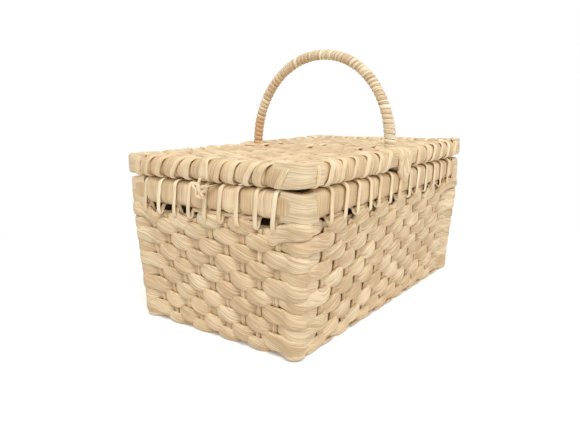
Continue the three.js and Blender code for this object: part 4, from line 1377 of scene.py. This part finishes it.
floor_mesh = bpy.data.meshes.new("studio_floor")
floor_corners = [(x * FLOOR_HALF, y * FLOOR_HALF, FLOOR_DEPTH) for x, y in QUARTERS]
floor_mesh.from_pydata(floor_corners, [], [(0, 1, 2, 3)])
studio_floor = add_object("studio_floor", floor_mesh)
floor_material = bpy.data.materials.new("studio_floor")
floor_material.use_nodes = True
tree = floor_material.node_tree
tree.nodes.clear()
paint = tree.nodes.new("ShaderNodeBsdfDiffuse")
paint.inputs["Color"].default_value = FLOOR_COLOUR
glow = tree.nodes.new("ShaderNodeEmission")
near = tree.nodes.new("ShaderNodeAddShader")
far = tree.nodes.new("ShaderNodeEmission")
place = tree.nodes.new("ShaderNodeTexCoord")
away = tree.nodes.new("ShaderNodeVectorMath")
away.operation = "LENGTH"
blend = tree.nodes.new("ShaderNodeMixShader")
result = tree.nodes.new("ShaderNodeOutputMaterial")
fade = math_node(tree, "MULTIPLY", seen_directly(tree), ranged(tree, away.outputs["Value"], *FADE_RANGE))
connect(tree, (math_node(tree, "MULTIPLY", seen_directly(tree), FLOOR_GLOW), glow.inputs["Strength"]),
        (paint.outputs[0], near.inputs[0]), (glow.outputs[0], near.inputs[1]),
        (place.outputs["Object"], away.inputs[0]), (fade, blend.inputs["Fac"]),
        (near.outputs[0], blend.inputs[1]), (far.outputs[0], blend.inputs[2]),
        (blend.outputs[0], result.inputs["Surface"]))
floor_mesh.materials.append(floor_material)
print("floor", 2 * FLOOR_HALF, "m wide")

# %% World and lamps
SKY_LIGHT = 0.7
SKY_COLOUR = (1, 1, 1, 1)
LAMP_AIM = Vector((0, 0, 0.08))
KEY_PLACE = Vector((-0.75, -0.5, 1.6))
KEY_SIZE = 0.9
KEY_POWER = 18
FILL_PLACE = Vector((0.6, -1.4, 0.7))
FILL_SIZE = 1.0
FILL_POWER = 4

world = bpy.data.worlds.new("studio")
bpy.context.scene.world = world
world.use_nodes = True
tree = world.node_tree
tree.nodes.clear()
sky = tree.nodes.new("ShaderNodeBackground")
sky.inputs["Color"].default_value = SKY_COLOUR
shown = math_node(tree, "MULTIPLY", seen_directly(tree), 1 - SKY_LIGHT)
result = tree.nodes.new("ShaderNodeOutputWorld")
connect(tree, (math_node(tree, "ADD", shown, SKY_LIGHT), sky.inputs["Strength"]),
        (sky.outputs[0], result.inputs["Surface"]))


def lamp(name, place, size, power):
    data = bpy.data.lights.new(name, "AREA")
    data.shape = "DISK"
    data.size = size
    data.energy = power
    item = add_object(name, data)
    item.location = place
    item.rotation_mode = "QUATERNION"
    item.rotation_quaternion = (LAMP_AIM - place).to_track_quat("-Z", "Y")


lamp("key", KEY_PLACE, KEY_SIZE, KEY_POWER)
lamp("fill", FILL_PLACE, FILL_SIZE, FILL_POWER)
bpy.context.scene.view_settings.view_transform = "Standard"
print("studio ready")
